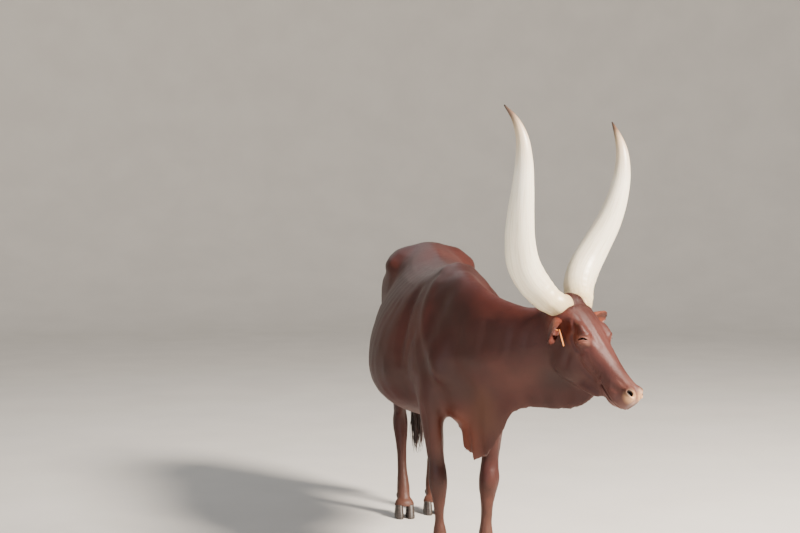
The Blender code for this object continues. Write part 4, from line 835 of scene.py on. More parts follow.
def model_cheek(clay, side):
    """Eye socket, brow, temple, forehead, cheek, and the creases in front of the cheek."""
    for path, width, amount in SOCKET_LINES:
        clay.ridge(face_side(path, side), width, amount)
    temple = face_side([(0.092, 0.1, -0.03)], side)[0]
    clay.press(temple, (0.026, 0.02, 0.022), -0.007, np.array(HEAD_TURN.to_3x3()))
    for path, width, amount in FACE_LINES:
        clay.ridge(face_side(path, side), width, amount)
    for i in range(4):
        start = 0.29 + 0.015 * i
        crease = [(start, 0.066, -0.052), (start + 0.012, 0.066, -0.068), (start + 0.01, 0.062, -0.088)]
        clay.ridge(face_side(crease, side), 0.0038, -0.0017)
        clay.ridge(face_side([(x + 0.007, y, z) for x, y, z in crease], side), 0.0038, 0.0016)


def model_mouth(clay, side):
    """The rolled rim of the nostril, the folds behind it, and the lips with the dimple at their corner."""
    path, width, amount = CORNER_OF_MOUTH
    clay.ridge(face_side(path, side), width, amount)
    rim = [nostril_point(side, angle, 1.5, -0.002) for angle in np.linspace(0, 2 * math.pi, 17)]
    clay.ridge(rim, 0.0052, 0.0044, 0.0)
    for path, width, amount in NOSE_LINES:
        clay.ridge(face_side(path, side), width, amount)
    lip = face_side([(x, 0.058, z) for x, z in LIP_LINE] + [(0.49, 0.034, -0.099), (0.5, 0.0, -0.099)], side)
    clay.ridge(lip, 0.0055, -0.0034, 0.2)
    clay.ridge([p + turned(0, 0, 0.012) for p in lip], 0.008, 0.0034, 0.3)
    clay.ridge([p + turned(0, 0, -0.011) for p in lip], 0.007, 0.003, 0.3)
    dimple = face_side([(0.37, 0.058, -0.096)], side)[0]
    clay.press(dimple, (0.01, 0.012, 0.008), -0.006, np.array(HEAD_TURN.to_3x3()))


# The line of the lips, from the corner of the mouth forward, as X and Z of head space.
LIP_LINE = [(0.368, -0.094), (0.384, -0.097), (0.404, -0.099), (0.424, -0.1), (0.446, -0.1), (0.468, -0.099)]
# The opening of the nostril: its middle, half its length and half its width at the middle, in head space.
NOSTRIL_PLACE = Vector((0.49, 0.045, -0.009))
NOSTRIL_LONG = 0.019
NOSTRIL_WIDE = 0.0066


def nostril_point(side, turn, spread=1.0, inward=0.0):
    """A place on a comma-shaped ring round the nostril, an amount inward from the skin."""
    along = math.cos(turn)
    wide = math.sin(turn) * (1 + 0.35 * along)
    length = Vector((0.62, -0.66 * side, -0.16)).normalized()
    depth = Vector((-0.62, -0.34 * side, -0.7)).normalized()
    width = length.cross(depth).normalized() * side
    spot = Vector((NOSTRIL_PLACE.x, side * NOSTRIL_PLACE.y, NOSTRIL_PLACE.z))
    spot += length * (NOSTRIL_LONG * spread * along)
    reach = NOSTRIL_WIDE * (1 + 1.35 * (spread - 1))
    spot += width * (reach * wide + 0.004 * along * along)
    return HEAD @ (spot + depth * inward)


# The hollow from outside the skin to its end: how far inward, and how wide against the opening.
NOSTRIL_RINGS = [(-0.036, 1.12), (-0.006, 1.04), (0.002, 0.94), (0.01, 0.82), (0.019, 0.62)]


def nostril_hollow(side):
    """The hollow of the nostril, wide at the rim and narrowing as it turns back into the nose."""
    turns = np.linspace(0, 2 * math.pi, 25)[:-1]
    rings = []
    for inward, spread in NOSTRIL_RINGS:
        rings.append([nostril_point(side, turn, spread, inward) for turn in turns])
    return lofted("nostril_hollow", rings)


# Round the front of the lips, the line of the mouth is looked for in these degrees from straight ahead.
# The depth and half thickness of the blade that cuts it are those of its ends, and then of the places
# further in.
LIP_TURNS = (62, 44, 26, 9, -9, -26, -44, -62)
BLADE_DEPTHS = (0.0035, 0.0075)
BLADE_HALVES = (0.0024, 0.0019, 0.0014)


def mouth_line(surface):
    """A thin blade that cuts the line of the mouth, from corner to corner round the front of the lips."""
    spots = [(HEAD @ Vector((x, 0.3, z)), turned(0, -1, 0)) for x, z in LIP_LINE]
    for degrees in LIP_TURNS:
        angle = math.radians(degrees)
        way = Vector((math.cos(angle), math.sin(angle), 0))
        spots.append((HEAD @ (Vector((0.44, 0, -0.099)) + way * 0.25), turned(*-way)))
    spots += [(HEAD @ Vector((x, -0.3, z)), turned(0, 1, 0)) for x, z in reversed(LIP_LINE)]
    rings = []
    up = turned(0, 0, 1)
    for i, (start, way) in enumerate(spots):
        hit, _, _, _ = surface.ray_cast(start, way)
        end = min(i, len(spots) - 1 - i)
        deep = BLADE_DEPTHS[min(end, 1)]
        thick = BLADE_HALVES[min(end, 2)]
        turns = np.linspace(0, 2 * math.pi, 9)[:-1]
        rings.append([hit + way * (deep * math.cos(t) - 0.001) + up * (thick * math.sin(t)) for t in turns])
    return lofted("mouth_line", rings)


# Eyes, each seen through the narrow slit between its lids

SLIT_LONG = 0.0205
SLIT_HIGH = 0.0052
# From the middle of the ball: the ends of the cut, the ball's surface, and the least depth that a lid
# reaches to.
CUT_ENDS = (0.0075, 0.055)
BALL_SURFACE = 0.0182
BALL_LEAST = 0.009
LID_WIDE = 0.0026


def eye_frame(side):
    """At the middle of the ball: X along the slit towards the nose, Y to her left, Z up across the slit."""
    place = HEAD @ Matrix.Translation((EYE_PLACE.x, side * EYE_PLACE.y, EYE_PLACE.z))
    return place @ Matrix.Rotation(side * EYE_LEAN, 4, "X") @ Matrix.Rotation(-LID_TILT, 4, "Y")


def eye_point(side, along, up, out):
    return eye_frame(side) @ Vector((along, side * out, up))


def slit_edge(turn, spread=0.0):
    """The edge of the slit as along and up, once round its almond, moved out by a spread."""
    along, up = math.cos(turn), math.sin(turn)
    out = Vector((SLIT_HIGH * 1.6 * along, SLIT_LONG * up)).normalized() * spread
    high = SLIT_HIGH if up > 0 else 0.8 * SLIT_HIGH
    high = high * math.copysign(abs(up) ** 1.2, up) - 0.0045 * along * along
    return SLIT_LONG * along + out.x, high + out.y


def open_eye(skin, surface, side):
    """Opens the slit down to the ball and lays a rolled lid round it."""
    turns = np.linspace(0, 2 * math.pi, 49)[:-1]
    opening = [[eye_point(side, *slit_edge(turn), out) for turn in turns] for out in CUT_ENDS]
    carve(skin, lofted("slit", opening))
    inward = (eye_frame(side).to_3x3() @ Vector((0, -side, 0))).normalized()
    rings = []
    for turn in turns:
        upper = 0.5 + 0.5 * math.sin(turn)
        wide = LID_WIDE + 0.001 * upper
        along, up = slit_edge(turn, wide - 0.0006)
        hit, _, _, _ = surface.ray_cast(eye_point(side, along, up, 0.06), inward)
        local = eye_frame(side).inverted() @ hit
        ball = math.sqrt(max(BALL_LEAST**2, BALL_SURFACE**2 - along**2 - up**2))
        rim = max(side * local.y, ball + 0.002) + 0.0012 + 0.0008 * upper
        level, thick = (rim + ball) / 2, (rim - ball) / 2 + 0.0006
        ring = []
        for part in np.linspace(0, 2 * math.pi, 13)[:-1]:
            along, up = slit_edge(turn, wide - 0.0006 + wide * math.cos(part))
            ring.append(eye_point(side, along, up, level + thick * math.sin(part)))
        rings.append(ring)
    carve(skin, lofted("lid", rings, loop=True), "UNION")


def turned(x, y, z):
    """A way in head space, turned as the head is held."""
    return HEAD_TURN.to_3x3() @ Vector((x, y, z))


# Ears, rolled leaves whose root is a tube inside the head

EAR_LENGTH = 0.18
EAR_WALL = 0.0055
EAR_DROOP = 0.02
EAR_ROOT = Vector((0.03, 0.088, -0.066))
EAR_ROWS = np.array(
    [
        # share of the length, half of the leaf's width laid flat, degrees that half is rolled through
        (0.00, 0.044, 165),
        (0.18, 0.051, 132),
        (0.45, 0.056, 90),
        (0.7, 0.049, 68),
        (0.88, 0.032, 55),
        (1.00, 0.01, 48),
    ]
)
# Degrees: swung forward from straight out, dropped below level.
EAR_POSE = {1: (-2, -4), -1: (22, 24)}


def ear_point(along, across):
    """A place on the ear's sheet: X out to the tip, Y across, Z out of the back of the ear."""
    leaf = np.interp(along, EAR_ROWS[:, 0], EAR_ROWS[:, 1])
    roll = math.radians(np.interp(along, EAR_ROWS[:, 0], EAR_ROWS[:, 2]))
    radius = leaf / roll
    angle = across * roll
    height = radius * math.cos(angle) - radius - EAR_DROOP * along**2
    return Vector((EAR_LENGTH * along, radius * math.sin(angle), height))


def ear_frame(side):
    swing, drop = (math.radians(angle) for angle in EAR_POSE[side])
    out = Vector((math.sin(swing) * math.cos(drop), side * math.cos(swing) * math.cos(drop), -math.sin(drop)))
    back = Vector((-0.9, 0, 0.4))
    back = (back - out * back.dot(out)).normalized()
    turn = Matrix((out, back.cross(out), back)).transposed().to_4x4()
    root = HEAD @ Vector((EAR_ROOT.x, side * EAR_ROOT.y, EAR_ROOT.z))
    return Matrix.Translation(root) @ LEVEL.to_3x3().to_4x4() @ turn


def make_ear(side):
    """One ear as a closed leaf with a thick rim and three faint ribs down its cup."""
    place = ear_frame(side)
    bpy.ops.mesh.primitive_grid_add(x_subdivisions=44, y_subdivisions=26, size=1)
    ear = bpy.context.active_object
    ear.name = "ear"
    for vert in ear.data.vertices:
        along, across = vert.co.x + 0.5, vert.co.y * 1.96
        edge = 1 + 0.01 * math.sin(along * 23 + side) * abs(across)
        spot = ear_point(along * 1.1 - 0.1, across * edge)
        spot.z += 0.0012 * math.cos(across * 9) * math.sin(math.pi * min(1, max(0, along)))
        vert.co = place @ spot
    wall = ear.modifiers.new("wall", "SOLIDIFY")
    wall.thickness = EAR_WALL
    wall.offset = 0
    bpy.ops.object.modifier_apply(modifier="wall")
    return outward(ear)


def join_ears(skin):
    """Unites the ears with the skin and eases the flesh round their roots and round the lids."""
    for side in SIDES.values():
        carve(skin, make_ear(side), "UNION")
    clay = Clay(skin.data)
    root = np.zeros(len(clay.points))
    lid = np.zeros(len(clay.points))
    for side in SIDES.values():
        local = in_frame(clay.points, ear_frame(side))
        away = np.sqrt((local[:, 0] / 0.034) ** 2 + (local[:, 1] / 0.05) ** 2 + (local[:, 2] / 0.05) ** 2)
        root = np.maximum(root, np.clip(1.5 - away, 0, 1))
        local = in_frame(clay.points, eye_frame(side))
        round_slit = np.sqrt((local[:, 0] / 0.024) ** 2 + (local[:, 2] / 0.0125) ** 2)
        in_front = (np.abs(local[:, 1]) < 0.05) & (side * local[:, 1] > 0)
        lid = np.maximum(lid, np.clip(1 - np.abs(round_slit - 1) / 0.35, 0, 1) * in_front)
    clay.soften(5, root)
    clay.soften(6, lid * 0.8)
    clay.store()


# Horns

HORN_STEPS = 130
HORN_SIDES = 48
HORN_ROWS = [
    # ahead, out and up from the crown, radius
    (0.000, 0.034, -0.01, 0.044),
    (-0.006, 0.064, -0.01, 0.048),
    (-0.032, 0.102, 0.01, 0.055),
    (-0.068, 0.145, 0.062, 0.063),
    (-0.086, 0.205, 0.14, 0.066),
    (-0.07, 0.258, 0.23, 0.061),
    (-0.04, 0.3, 0.33, 0.054),
    (-0.014, 0.326, 0.44, 0.044),
    (-0.004, 0.338, 0.54, 0.035),
    (-0.014, 0.344, 0.63, 0.025),
    (-0.045, 0.352, 0.7, 0.0145),
    (-0.084, 0.37, 0.752, 0.004),
]


def make_horn(side, name, finish):
    """A heavy horn, faintly ringed at its root and grained along its length."""
    table = curve_through([(a, side * o, u, r) for a, o, u, r in HORN_ROWS], HORN_STEPS)
    centres = [LEVEL @ Vector(row[:3]) for row in table]
    last = HORN_STEPS - 1
    rings = []
    for i, row in enumerate(table):
        ahead = (centres[min(i + 1, last)] - centres[max(i - 1, 0)]).normalized()
        across = ahead.cross(Vector((0.3, 0.9, 0.1))).normalized()
        up = across.cross(ahead)
        along = i / last
        wave = 0.0011 * math.sin(i * 1.15 + 0.7 * math.sin(i * 0.37)) * math.exp(-((along / 0.22) ** 2))
        ring = []
        for k in range(HORN_SIDES):
            turn = 2 * math.pi * k / HORN_SIDES
            flute = 0.006 * math.sin(5 * turn + 2.2 * along) + 0.004 * math.sin(9 * turn - 3 * along)
            radius = (row[3] - 0.0012) * (1 + flute * (1 - along)) + wave
            ring.append(centres[i] + (across * math.cos(turn) + up * math.sin(turn)) * radius)
        rings.append(ring)
    horn = lofted(name, rings, finish)
    uv = horn.data.uv_layers.new(name="along")
    corners = np.empty(len(horn.data.loops), np.int32)
    horn.data.loops.foreach_get("vertex_index", corners)
    places = np.stack([corners // HORN_SIDES / last, corners % HORN_SIDES / HORN_SIDES], axis=1)
    uv.data.foreach_set("uv", places.astype(np.float32).ravel())
    return horn


# Eyes and claws


def make_eye(name, node, finish):
    bpy.ops.mesh.primitive_uv_sphere_add(segments=32, ring_count=20, radius=EYE_RADIUS * HEAD_SCALE)
    eye = bpy.context.active_object
    eye.name = name
    eye.data.transform(Matrix.Translation(middle(node)))
    eye.data.materials.append(finish)
    bpy.ops.object.shade_smooth()
    return eye


def make_claw(node, finish):
    """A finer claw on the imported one: rounded edges and shallow growth rings."""
    made = bmesh.new()
    made.from_mesh(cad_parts[node].data)
    bmesh.ops.remove_doubles(made, verts=made.verts, dist=1e-5)
    bmesh.ops.dissolve_limit(made, angle_limit=math.radians(4), verts=made.verts, edges=made.edges)
    sharp = [edge for edge in made.edges if edge.is_manifold and edge.calc_face_angle() > math.radians(28)]
    rounding = {"offset": 0.003, "segments": 3, "profile": 0.6, "affect": "EDGES", "clamp_overlap": True}
    bmesh.ops.bevel(made, geom=sharp, **rounding)
    bmesh.ops.triangulate(made, faces=made.faces)
    bmesh.ops.subdivide_edges(made, edges=[e for e in made.edges if e.calc_length() > 0.008], cuts=1)
    mesh = bpy.data.meshes.new(node)
    made.normal_update()
    low = min(vert.co.z for vert in made.verts)
    for vert in made.verts:
        height = vert.co.z - low
        if height > 0.004:
            ring = 0.0005 * math.sin(height * 900) * min(1, (height - 0.004) / 0.01)
            vert.co += vert.normal * (ring - 0.0002)
    if node.startswith("dewclaw"):
        # A dewclaw is a rounded knob whose root sits in the skin at the back of the fetlock.
        bmesh.ops.subdivide_edges(made, edges=made.edges, cuts=1, use_grid_fill=True)
        for _ in range(6):
            bmesh.ops.smooth_vert(made, verts=made.verts, factor=0.5)
        centre = sum(vert.co.x for vert in made.verts) / len(made.verts)
        for vert in made.verts:
            vert.co.x += 0.45 * max(0, vert.co.x - centre) + 0.006
    made.to_mesh(mesh)
    made.free()
    return new_object(node + "_shell", mesh, finish)


# Hair

# The faces of a lying and of a bent tuft, by the corners that tuft_mesh lists, and where the corners lie
# across and along the tuft's patch of the map.
LYING_FACES = [(0, 2, 1), (1, 2, 3), (2, 0, 3), (0, 1, 3)]
LYING_MAP = [(-1, -1), (1, -1), (0, 0), (0, 1)]
BENT_FACES = [(0, 2, 1), (0, 1, 4), (0, 4, 3), (1, 2, 5), (1, 5, 4)]
BENT_FACES += [(2, 0, 3), (2, 3, 5), (3, 4, 6), (4, 5, 6), (5, 3, 6)]
BENT_MAP = [(-1, -1), (1, -1), (0, -0.6), (-0.8, 0), (0.8, 0), (0, 0.3), (0, 1)]
# Half of a tuft's patch on the map, and how deep in the skin a root sits, and a bent one more.
PATCH_HALF = 0.0015
ROOT_DEPTH = 0.00015
BENT_DEPTH = 0.0006


def tuft_mesh(name, roots, normals, ways, lengths, widths, lifts, rises, uvs, bent):
    """Short flat tapered tufts as one mesh. A lying tuft is a closed lance of four faces, and a bent one, for
    the outline, is a closed blade of ten. Their shading follows the skin that they lie on."""
    count = len(roots)
    side = np.cross(normals, ways) * (widths / 2)[:, None]
    low = roots - normals * ROOT_DEPTH
    tip = roots + ways * lengths[:, None] + normals * rises[:, None]
    if bent:
        low = low - normals * BENT_DEPTH
        bend = roots + ways * (lengths * 0.5)[:, None] + normals * lifts[:, None]
        crest = normals * (widths * 0.3)[:, None]
        corners = [low - side * 0.8, low + side * 0.8, roots + crest]
        corners += [bend - side, bend + side, bend + crest, tip]
        pattern, spread = BENT_FACES, BENT_MAP
    else:
        crest = roots + ways * (lengths * 0.35)[:, None] + normals * lifts[:, None]
        low = low + ways * (lengths * 0.2)[:, None]
        corners = [low - side, low + side, crest, tip]
        pattern, spread = LYING_FACES, LYING_MAP
    size = len(corners)
    points = np.stack(corners, axis=1)
    loops = (np.array(pattern)[None] + size * np.arange(count)[:, None, None]).reshape(-1)
    mesh = bpy.data.meshes.new(name)
    mesh.vertices.add(count * size)
    mesh.vertices.foreach_set("co", points.astype(np.float32).ravel())
    mesh.loops.add(len(loops))
    mesh.loops.foreach_set("vertex_index", loops.astype(np.int32))
    mesh.polygons.add(len(loops) // 3)
    mesh.polygons.foreach_set("loop_start", np.arange(0, len(loops), 3, dtype=np.int32))
    mesh.polygons.foreach_set("use_smooth", np.ones(len(loops) // 3, bool))
    mesh.update(calc_edges=True)
    patches = (uvs[:, None, :] + PATCH_HALF * np.array(spread)[None]).reshape(-1, 2)
    layer = mesh.uv_layers.new(name="OFBake")
    layer.data.foreach_set("uv", patches[loops].astype(np.float32).ravel())
    shading = np.repeat(normals, size, axis=0)
    mesh.normals_split_custom_set_from_vertices(shading.tolist())
    return mesh


def unwrap(skin):
    """An unwrap of the skin's own shape, which the coat's pieces take their places from."""
    skin.data.uv_layers.new(name="OFBake")
    bpy.ops.object.select_all(action="DESELECT")
    skin.select_set(True)
    bpy.context.view_layer.objects.active = skin
    bpy.ops.object.mode_set(mode="EDIT")
    bpy.ops.mesh.select_all(action="SELECT")
    bpy.ops.uv.smart_project(angle_limit=math.radians(70), island_margin=0.0005)
    bpy.ops.object.mode_set(mode="OBJECT")


def read_out(rows, key, width, kind):
    """A value of every row of a mesh, as one flat array."""
    found = np.empty(len(rows) * width, kind)
    rows.foreach_get(key, found)
    return found


class Pelt:
    """The skin's triangles as arrays, to grow hair from."""

    def __init__(self, skin):
        mesh = skin.data
        mesh.calc_loop_triangles()
        corners = read_out(mesh.loop_triangles, "vertices", 3, np.int32)
        loops = read_out(mesh.loop_triangles, "loops", 3, np.int32)
        points = read_out(mesh.vertices, "co", 3, np.float32)
        normals = read_out(mesh.vertex_normals, "vector", 3, np.float32)
        uv = read_out(mesh.uv_layers["OFBake"].data, "uv", 2, np.float32)
        self.points = points.reshape(-1, 3)[corners].reshape(-1, 3, 3).astype(float)
        self.normals = normals.reshape(-1, 3)[corners].reshape(-1, 3, 3).astype(float)
        self.uv = uv.reshape(-1, 2)[loops].reshape(-1, 3, 2).astype(float)
        edge_a = self.points[:, 1] - self.points[:, 0]
        edge_b = self.points[:, 2] - self.points[:, 0]
        self.area = np.linalg.norm(np.cross(edge_a, edge_b), axis=1) / 2
        self.centre = self.points.mean(axis=1)

    def pick(self, weight, count):
        """Places spread over the skin by area times a weight: points, normals and unwrapped places."""
        share = np.cumsum(self.area * weight)
        chosen = np.searchsorted(share, draw.random(count) * share[-1])
        a, b = draw.random(count), draw.random(count)
        flip = a + b > 1
        a[flip], b[flip] = 1 - a[flip], 1 - b[flip]
        mix = np.stack([1 - a - b, a, b], axis=1)[:, :, None]
        points = (self.points[chosen] * mix).sum(axis=1)
        normals = (self.normals[chosen] * mix).sum(axis=1)
        normals /= np.linalg.norm(normals, axis=1)[:, None] + 1e-9
        return points, normals, (self.uv[chosen] * mix).sum(axis=1)


def lie_of_coat(points, normals):
    """The way the hair lies: down the nose, back over the neck, back and down the trunk, down the legs."""
    spots = points - np.array(tuple(SHIFT))
    at = in_frame(points, HEAD)
    trunk = np.tile([-0.9, 0, -0.42], (len(points), 1))
    share = np.clip((spots[:, 0] - 0.45) / 0.3, 0, 1)[:, None]
    neck = np.tile([-0.62, -0.45, -0.62], (len(points), 1))
    ways = trunk * (1 - share) + neck * share
    leg = np.clip((0.66 - spots[:, 2]) / 0.14, 0, 1)[:, None] * (1 - 0.8 * share)
    ways = ways * (1 - leg) + np.array([-0.1, 0, -1.0]) * leg
    tail = (spots[:, 0] < -0.87)[:, None]
    ways = np.where(tail, [-0.05, 0, -1.0], ways)
    face = (np.abs(at[:, 1]) < 0.125) & (at[:, 2] > -0.25) & (at[:, 0] > -0.05) & (at[:, 0] < 0.56)
    fall = np.where(at[:, 2] > -0.03, 0.0, -0.35)
    down = np.stack([np.full(len(at), 0.86), 0.15 * np.sign(at[:, 1]), fall], 1)
    up = np.stack([np.full(len(at), -0.9), 0.2 * np.sign(at[:, 1]), np.zeros(len(at))], 1)
    nose = np.clip((at[:, 0] - 0.1) / 0.06, 0, 1)[:, None]
    on_face = (down * nose + up * (1 - nose)) @ np.array(HEAD_TURN.to_3x3()).T
    ways = np.where(face[:, None], on_face, ways)
    for side in SIDES.values():
        ways = np.where(on_ear(points, side)[:, None], np.array(ear_frame(side).to_3x3())[:, 0], ways)
    ways = ways - normals * (ways * normals).sum(axis=1)[:, None]
    return ways / (np.linalg.norm(ways, axis=1)[:, None] + 1e-9)


def spun(ways, normals, spread):
    """The ways turned a little at random within the skin."""
    turn = draw.normal(0, spread, len(ways))[:, None]
    return ways * np.cos(turn) + np.cross(normals, ways) * np.sin(turn)


# The pieces of the coat: how many tufts, their length and width, how far their middles and tips stand off
# the skin, how far in radians they turn from the lie of the coat, and whether they bend.
COAT_PIECES = {
    "coat_trunk_a": (42000, 0.013, 0.0016, 0.00022, 0.0003, 0.22, False),
    "coat_trunk_b": (42000, 0.01, 0.0013, 0.00022, 0.0006, 0.3, False),
    "coat_legs": (26000, 0.0075, 0.0011, 0.00016, 0.0003, 0.22, False),
    "coat_head": (34000, 0.006, 0.0009, 0.00014, 0.0002, 0.22, False),
    "coat_ears": (9000, 0.006, 0.0009, 0.00016, 0.0004, 0.3, False),
    "coat_outline": (12000, 0.01, 0.0009, 0.0006, 0.0013, 0.28, True),
    "coat_poll": (3400, 0.01, 0.0009, 0.0008, 0.0018, 0.45, True),
    "coat_ear_rims": (3600, 0.0065, 0.0005, 0.0003, 0.0004, 0.3, True),
}


def grow(pelt, name, weight, finish):
    """One piece of the coat, spread over the skin by a weight."""
    count, length, width, lift, rise, spread, bent = COAT_PIECES[name]
    roots, normals, uvs = pelt.pick(weight, count)
    ways = spun(lie_of_coat(roots, normals), normals, spread)
    long = length * draw.uniform(0.75, 1.2, count)
    wide = width * draw.uniform(0.7, 1.25, count)
    lifts = lift * draw.uniform(0.5, 1.5, count)
    rises = rise * draw.uniform(0.2, 1.8, count)
    obj = new_object(name, tuft_mesh(name, roots, normals, ways, long, wide, lifts, rises, uvs, bent), finish)
    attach(obj, "root")


def make_coat(pelt, finish):
    """Tufts over the whole animal, shortest on face and feet, and longer where they break the outline."""
    spots = pelt.centre - np.array(tuple(SHIFT))
    at = in_frame(pelt.centre, HEAD)
    normal = pelt.normals.mean(axis=1)
    near_head = np.linalg.norm(pelt.centre - np.array(in_head(0.22, 0, -0.08)), axis=1) < 0.4
    head = near_head & (at[:, 0] > -0.06) & (at[:, 2] > -0.27)
    low_leg = spots[:, 2] < 0.5
    trunk = ~head & ~low_leg
    bare = head & ((at[:, 0] > 0.462) | ((at[:, 0] > 0.35) & (at[:, 2] < -0.096)))
    ears = np.zeros(len(at), bool)
    rims = np.zeros(len(at), bool)
    for side in SIDES.values():
        local = in_frame(pelt.centre, eye_frame(side))
        bare |= (np.hypot(local[:, 0] / 0.026, local[:, 2] / 0.014) < 1) & (np.abs(local[:, 1]) < 0.06)
        this_ear = on_ear(pelt.centre, side)
        ears |= this_ear
        rims |= this_ear & (ear_edge(pelt.centre, side) > 0.9)
    grow(pelt, "coat_trunk_a", trunk, finish)
    grow(pelt, "coat_trunk_b", trunk, finish)
    grow(pelt, "coat_legs", low_leg, finish)
    grow(pelt, "coat_head", head & ~bare & ~ears, finish)
    grow(pelt, "coat_ears", ears, finish)
    # Where the outline breaks: back line, belly, brisket and dewlap edge, throat, backs of thighs and legs.
    back = trunk & (normal[:, 2] > 0.85) & (spots[:, 2] > 1.2)
    belly = trunk & (normal[:, 2] < -0.75)
    rear = (normal[:, 0] < -0.75) & ((spots[:, 2] < 0.95) | (spots[:, 0] < -0.8))
    grow(pelt, "coat_outline", back * 1.0 + belly * 1.2 + rear * 1.2, finish)
    poll = head & (at[:, 0] < 0.06) & (at[:, 2] > -0.06) & (np.abs(at[:, 1]) < 0.09)
    grow(pelt, "coat_poll", poll, finish)
    grow(pelt, "coat_ear_rims", rims, finish)


def ear_edge(points, side):
    """How near a place on the ear lies to its rim, 1 at the rim."""
    local = in_frame(points, ear_frame(side))
    along = np.clip(local[:, 0] / EAR_LENGTH, 0, 1)
    roll = np.radians(np.interp(along, EAR_ROWS[:, 0], EAR_ROWS[:, 2]))
    radius = np.interp(along, EAR_ROWS[:, 0], EAR_ROWS[:, 1]) / roll
    angle = np.arctan2(local[:, 1], local[:, 2] + radius + EAR_DROOP * along**2)
    return np.maximum(np.abs(angle) / roll, local[:, 0] / EAR_LENGTH - 0.05)


def on_ear(points, side):
    local = in_frame(points, ear_frame(side))
    near = (local[:, 0] > 0.025) & (local[:, 0] < 0.21)
    return near & (np.abs(local[:, 1]) < 0.08) & (np.abs(local[:, 2]) < 0.07)


LASHES = 46
LASH_LENGTH = 0.0095
LASH_WIDTH = 0.0007
LASH_LIFT = 0.0006


def make_lashes(side, name, finish):
    """Dark lashes along the upper lid, longest in the middle."""
    turns = np.linspace(0.16, 0.84, LASHES) * math.pi + draw.normal(0, 0.03, LASHES)
    axes = np.array(eye_frame(side).to_3x3().normalized())
    out, up = axes[:, 1] * side, axes[:, 2]
    roots = np.array([tuple(eye_point(side, *slit_edge(turn, 0.0012), 0.0215)) for turn in turns])
    lean = np.cos(turns)[:, None] * axes[:, 0] * 0.5
    ways = out * 0.8 - up * 0.35 + lean + draw.normal(0, 0.08, (LASHES, 3))
    ways /= np.linalg.norm(ways, axis=1)[:, None]
    normals = np.cross(ways, axes[:, 0])
    normals /= np.linalg.norm(normals, axis=1)[:, None]
    lengths = LASH_LENGTH * (0.55 + 0.45 * np.sin(turns)) * draw.uniform(0.8, 1.15, LASHES)
    widths, lifts = np.full(LASHES, LASH_WIDTH), np.full(LASHES, LASH_LIFT)
    middles = np.full((LASHES, 2), 0.5)
    mesh = tuft_mesh(name, roots, normals, ways, lengths, widths, lifts, lifts * 3, middles, True)
    obj = new_object(name, mesh, finish)
    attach(obj, "root")


LOCKS = 170
LOCK_RINGS = 11
# Where along a lock it is widest, and half its thickness there.
LOCK_WIDEST = 0.32
LOCK_THICK = 0.002


def make_switch(name, finish, pelt):
    """The brush of the tail: many thin locks that leave the tail in tiers and narrow to points."""
    low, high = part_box("tail_switch")
    axis = Vector(((low.x + high.x) / 2 + 0.004, (low.y + high.y) / 2, 0))
    points, faces = [], []
    for lock in range(LOCKS):
        tier = lock / LOCKS
        turn = random.uniform(0, 2 * math.pi)
        out = Vector((math.cos(turn), math.sin(turn), 0))
        top = high.z + 0.02 - 0.19 * tier
        end = max(low.z + 0.004, high.z - 0.2 - 0.17 * tier + random.uniform(-0.03, 0.03))
        root = axis + out * random.uniform(0.004, 0.013) + Vector((0, 0, top))
        reach = random.uniform(0.006, 0.026)
        bow = random.uniform(0.01, 0.02)
        wave = random.uniform(0, 6)
        width = random.uniform(0.0035, 0.0065)
        side = Vector((0, 0, 1)).cross(out)
        first = len(points)
        for i in range(LOCK_RINGS):
            t = i / (LOCK_RINGS - 1)
            drop = (top - end) * t
            spot = root + out * (bow * math.sin(math.pi * t) + (reach - 0.01) * t) - Vector((0, 0, drop))
            spot += side * (0.004 * math.sin(4 * t + wave) * t)
            taper = 0.55 + 1.4 * t
            if t >= LOCK_WIDEST:
                taper = max(0.05, (1 - (t - LOCK_WIDEST) / 0.68) ** 0.8)
            half, thick = width * taper, LOCK_THICK * max(taper, 0.3)
            points += [spot + side * half, spot + out * thick, spot - side * half, spot - out * thick]
        for i in range(LOCK_RINGS - 1):
            for k in range(4):
                a, b = first + i * 4 + k, first + i * 4 + (k + 1) % 4
                faces.append([a, b, b + 4, a + 4])
        faces.append([first + 3, first + 2, first + 1, first])
        faces.append([first + (LOCK_RINGS - 1) * 4 + k for k in range(4)])
    mesh = from_lists(name, points, faces)
    layer = mesh.uv_layers.new(name="OFBake")
    top = np.array(tuple(axis + Vector((0, 0, high.z))))
    seat = pelt.uv[np.argmin(np.linalg.norm(pelt.centre - top, axis=1))].mean(0)
    for polygon in mesh.polygons:
        for loop in polygon.loop_indices:
            vertex = mesh.loops[loop].vertex_index
            across = 0.0007 * (vertex % 4 - 1.5)
            along = PATCH_HALF * (vertex // 4 % LOCK_RINGS / 5 - 1)
            layer.data[loop].uv = (seat[0] + across, seat[1] + along)
    return outward(new_object(name, mesh, finish))


# The stage


# The floor: how far it lies flat, the radius of its sweep, and how high the backdrop stands. Then the
# pale sky.
FLOOR_FLAT = 11.0
FLOOR_SWEEP = 5.0
BACKDROP_TOP = 11.0
SKY_STRENGTH = 0.37
# The lights: a warm key from the front, a weak cool fill and a faint rim from behind, each with its
# place, its width, its power in watts and its colour.
LIGHTS = {
    "key": ((4.2, 4.0, 5.2), 1.9, 2450, "FFF2E4"),
    "fill": ((5.5, -4.0, 2.2), 4.0, 160, "E4ECF8"),
    "rim": ((-4.5, -1.0, 5.0), 3.0, 45, "EDF1F8"),
}


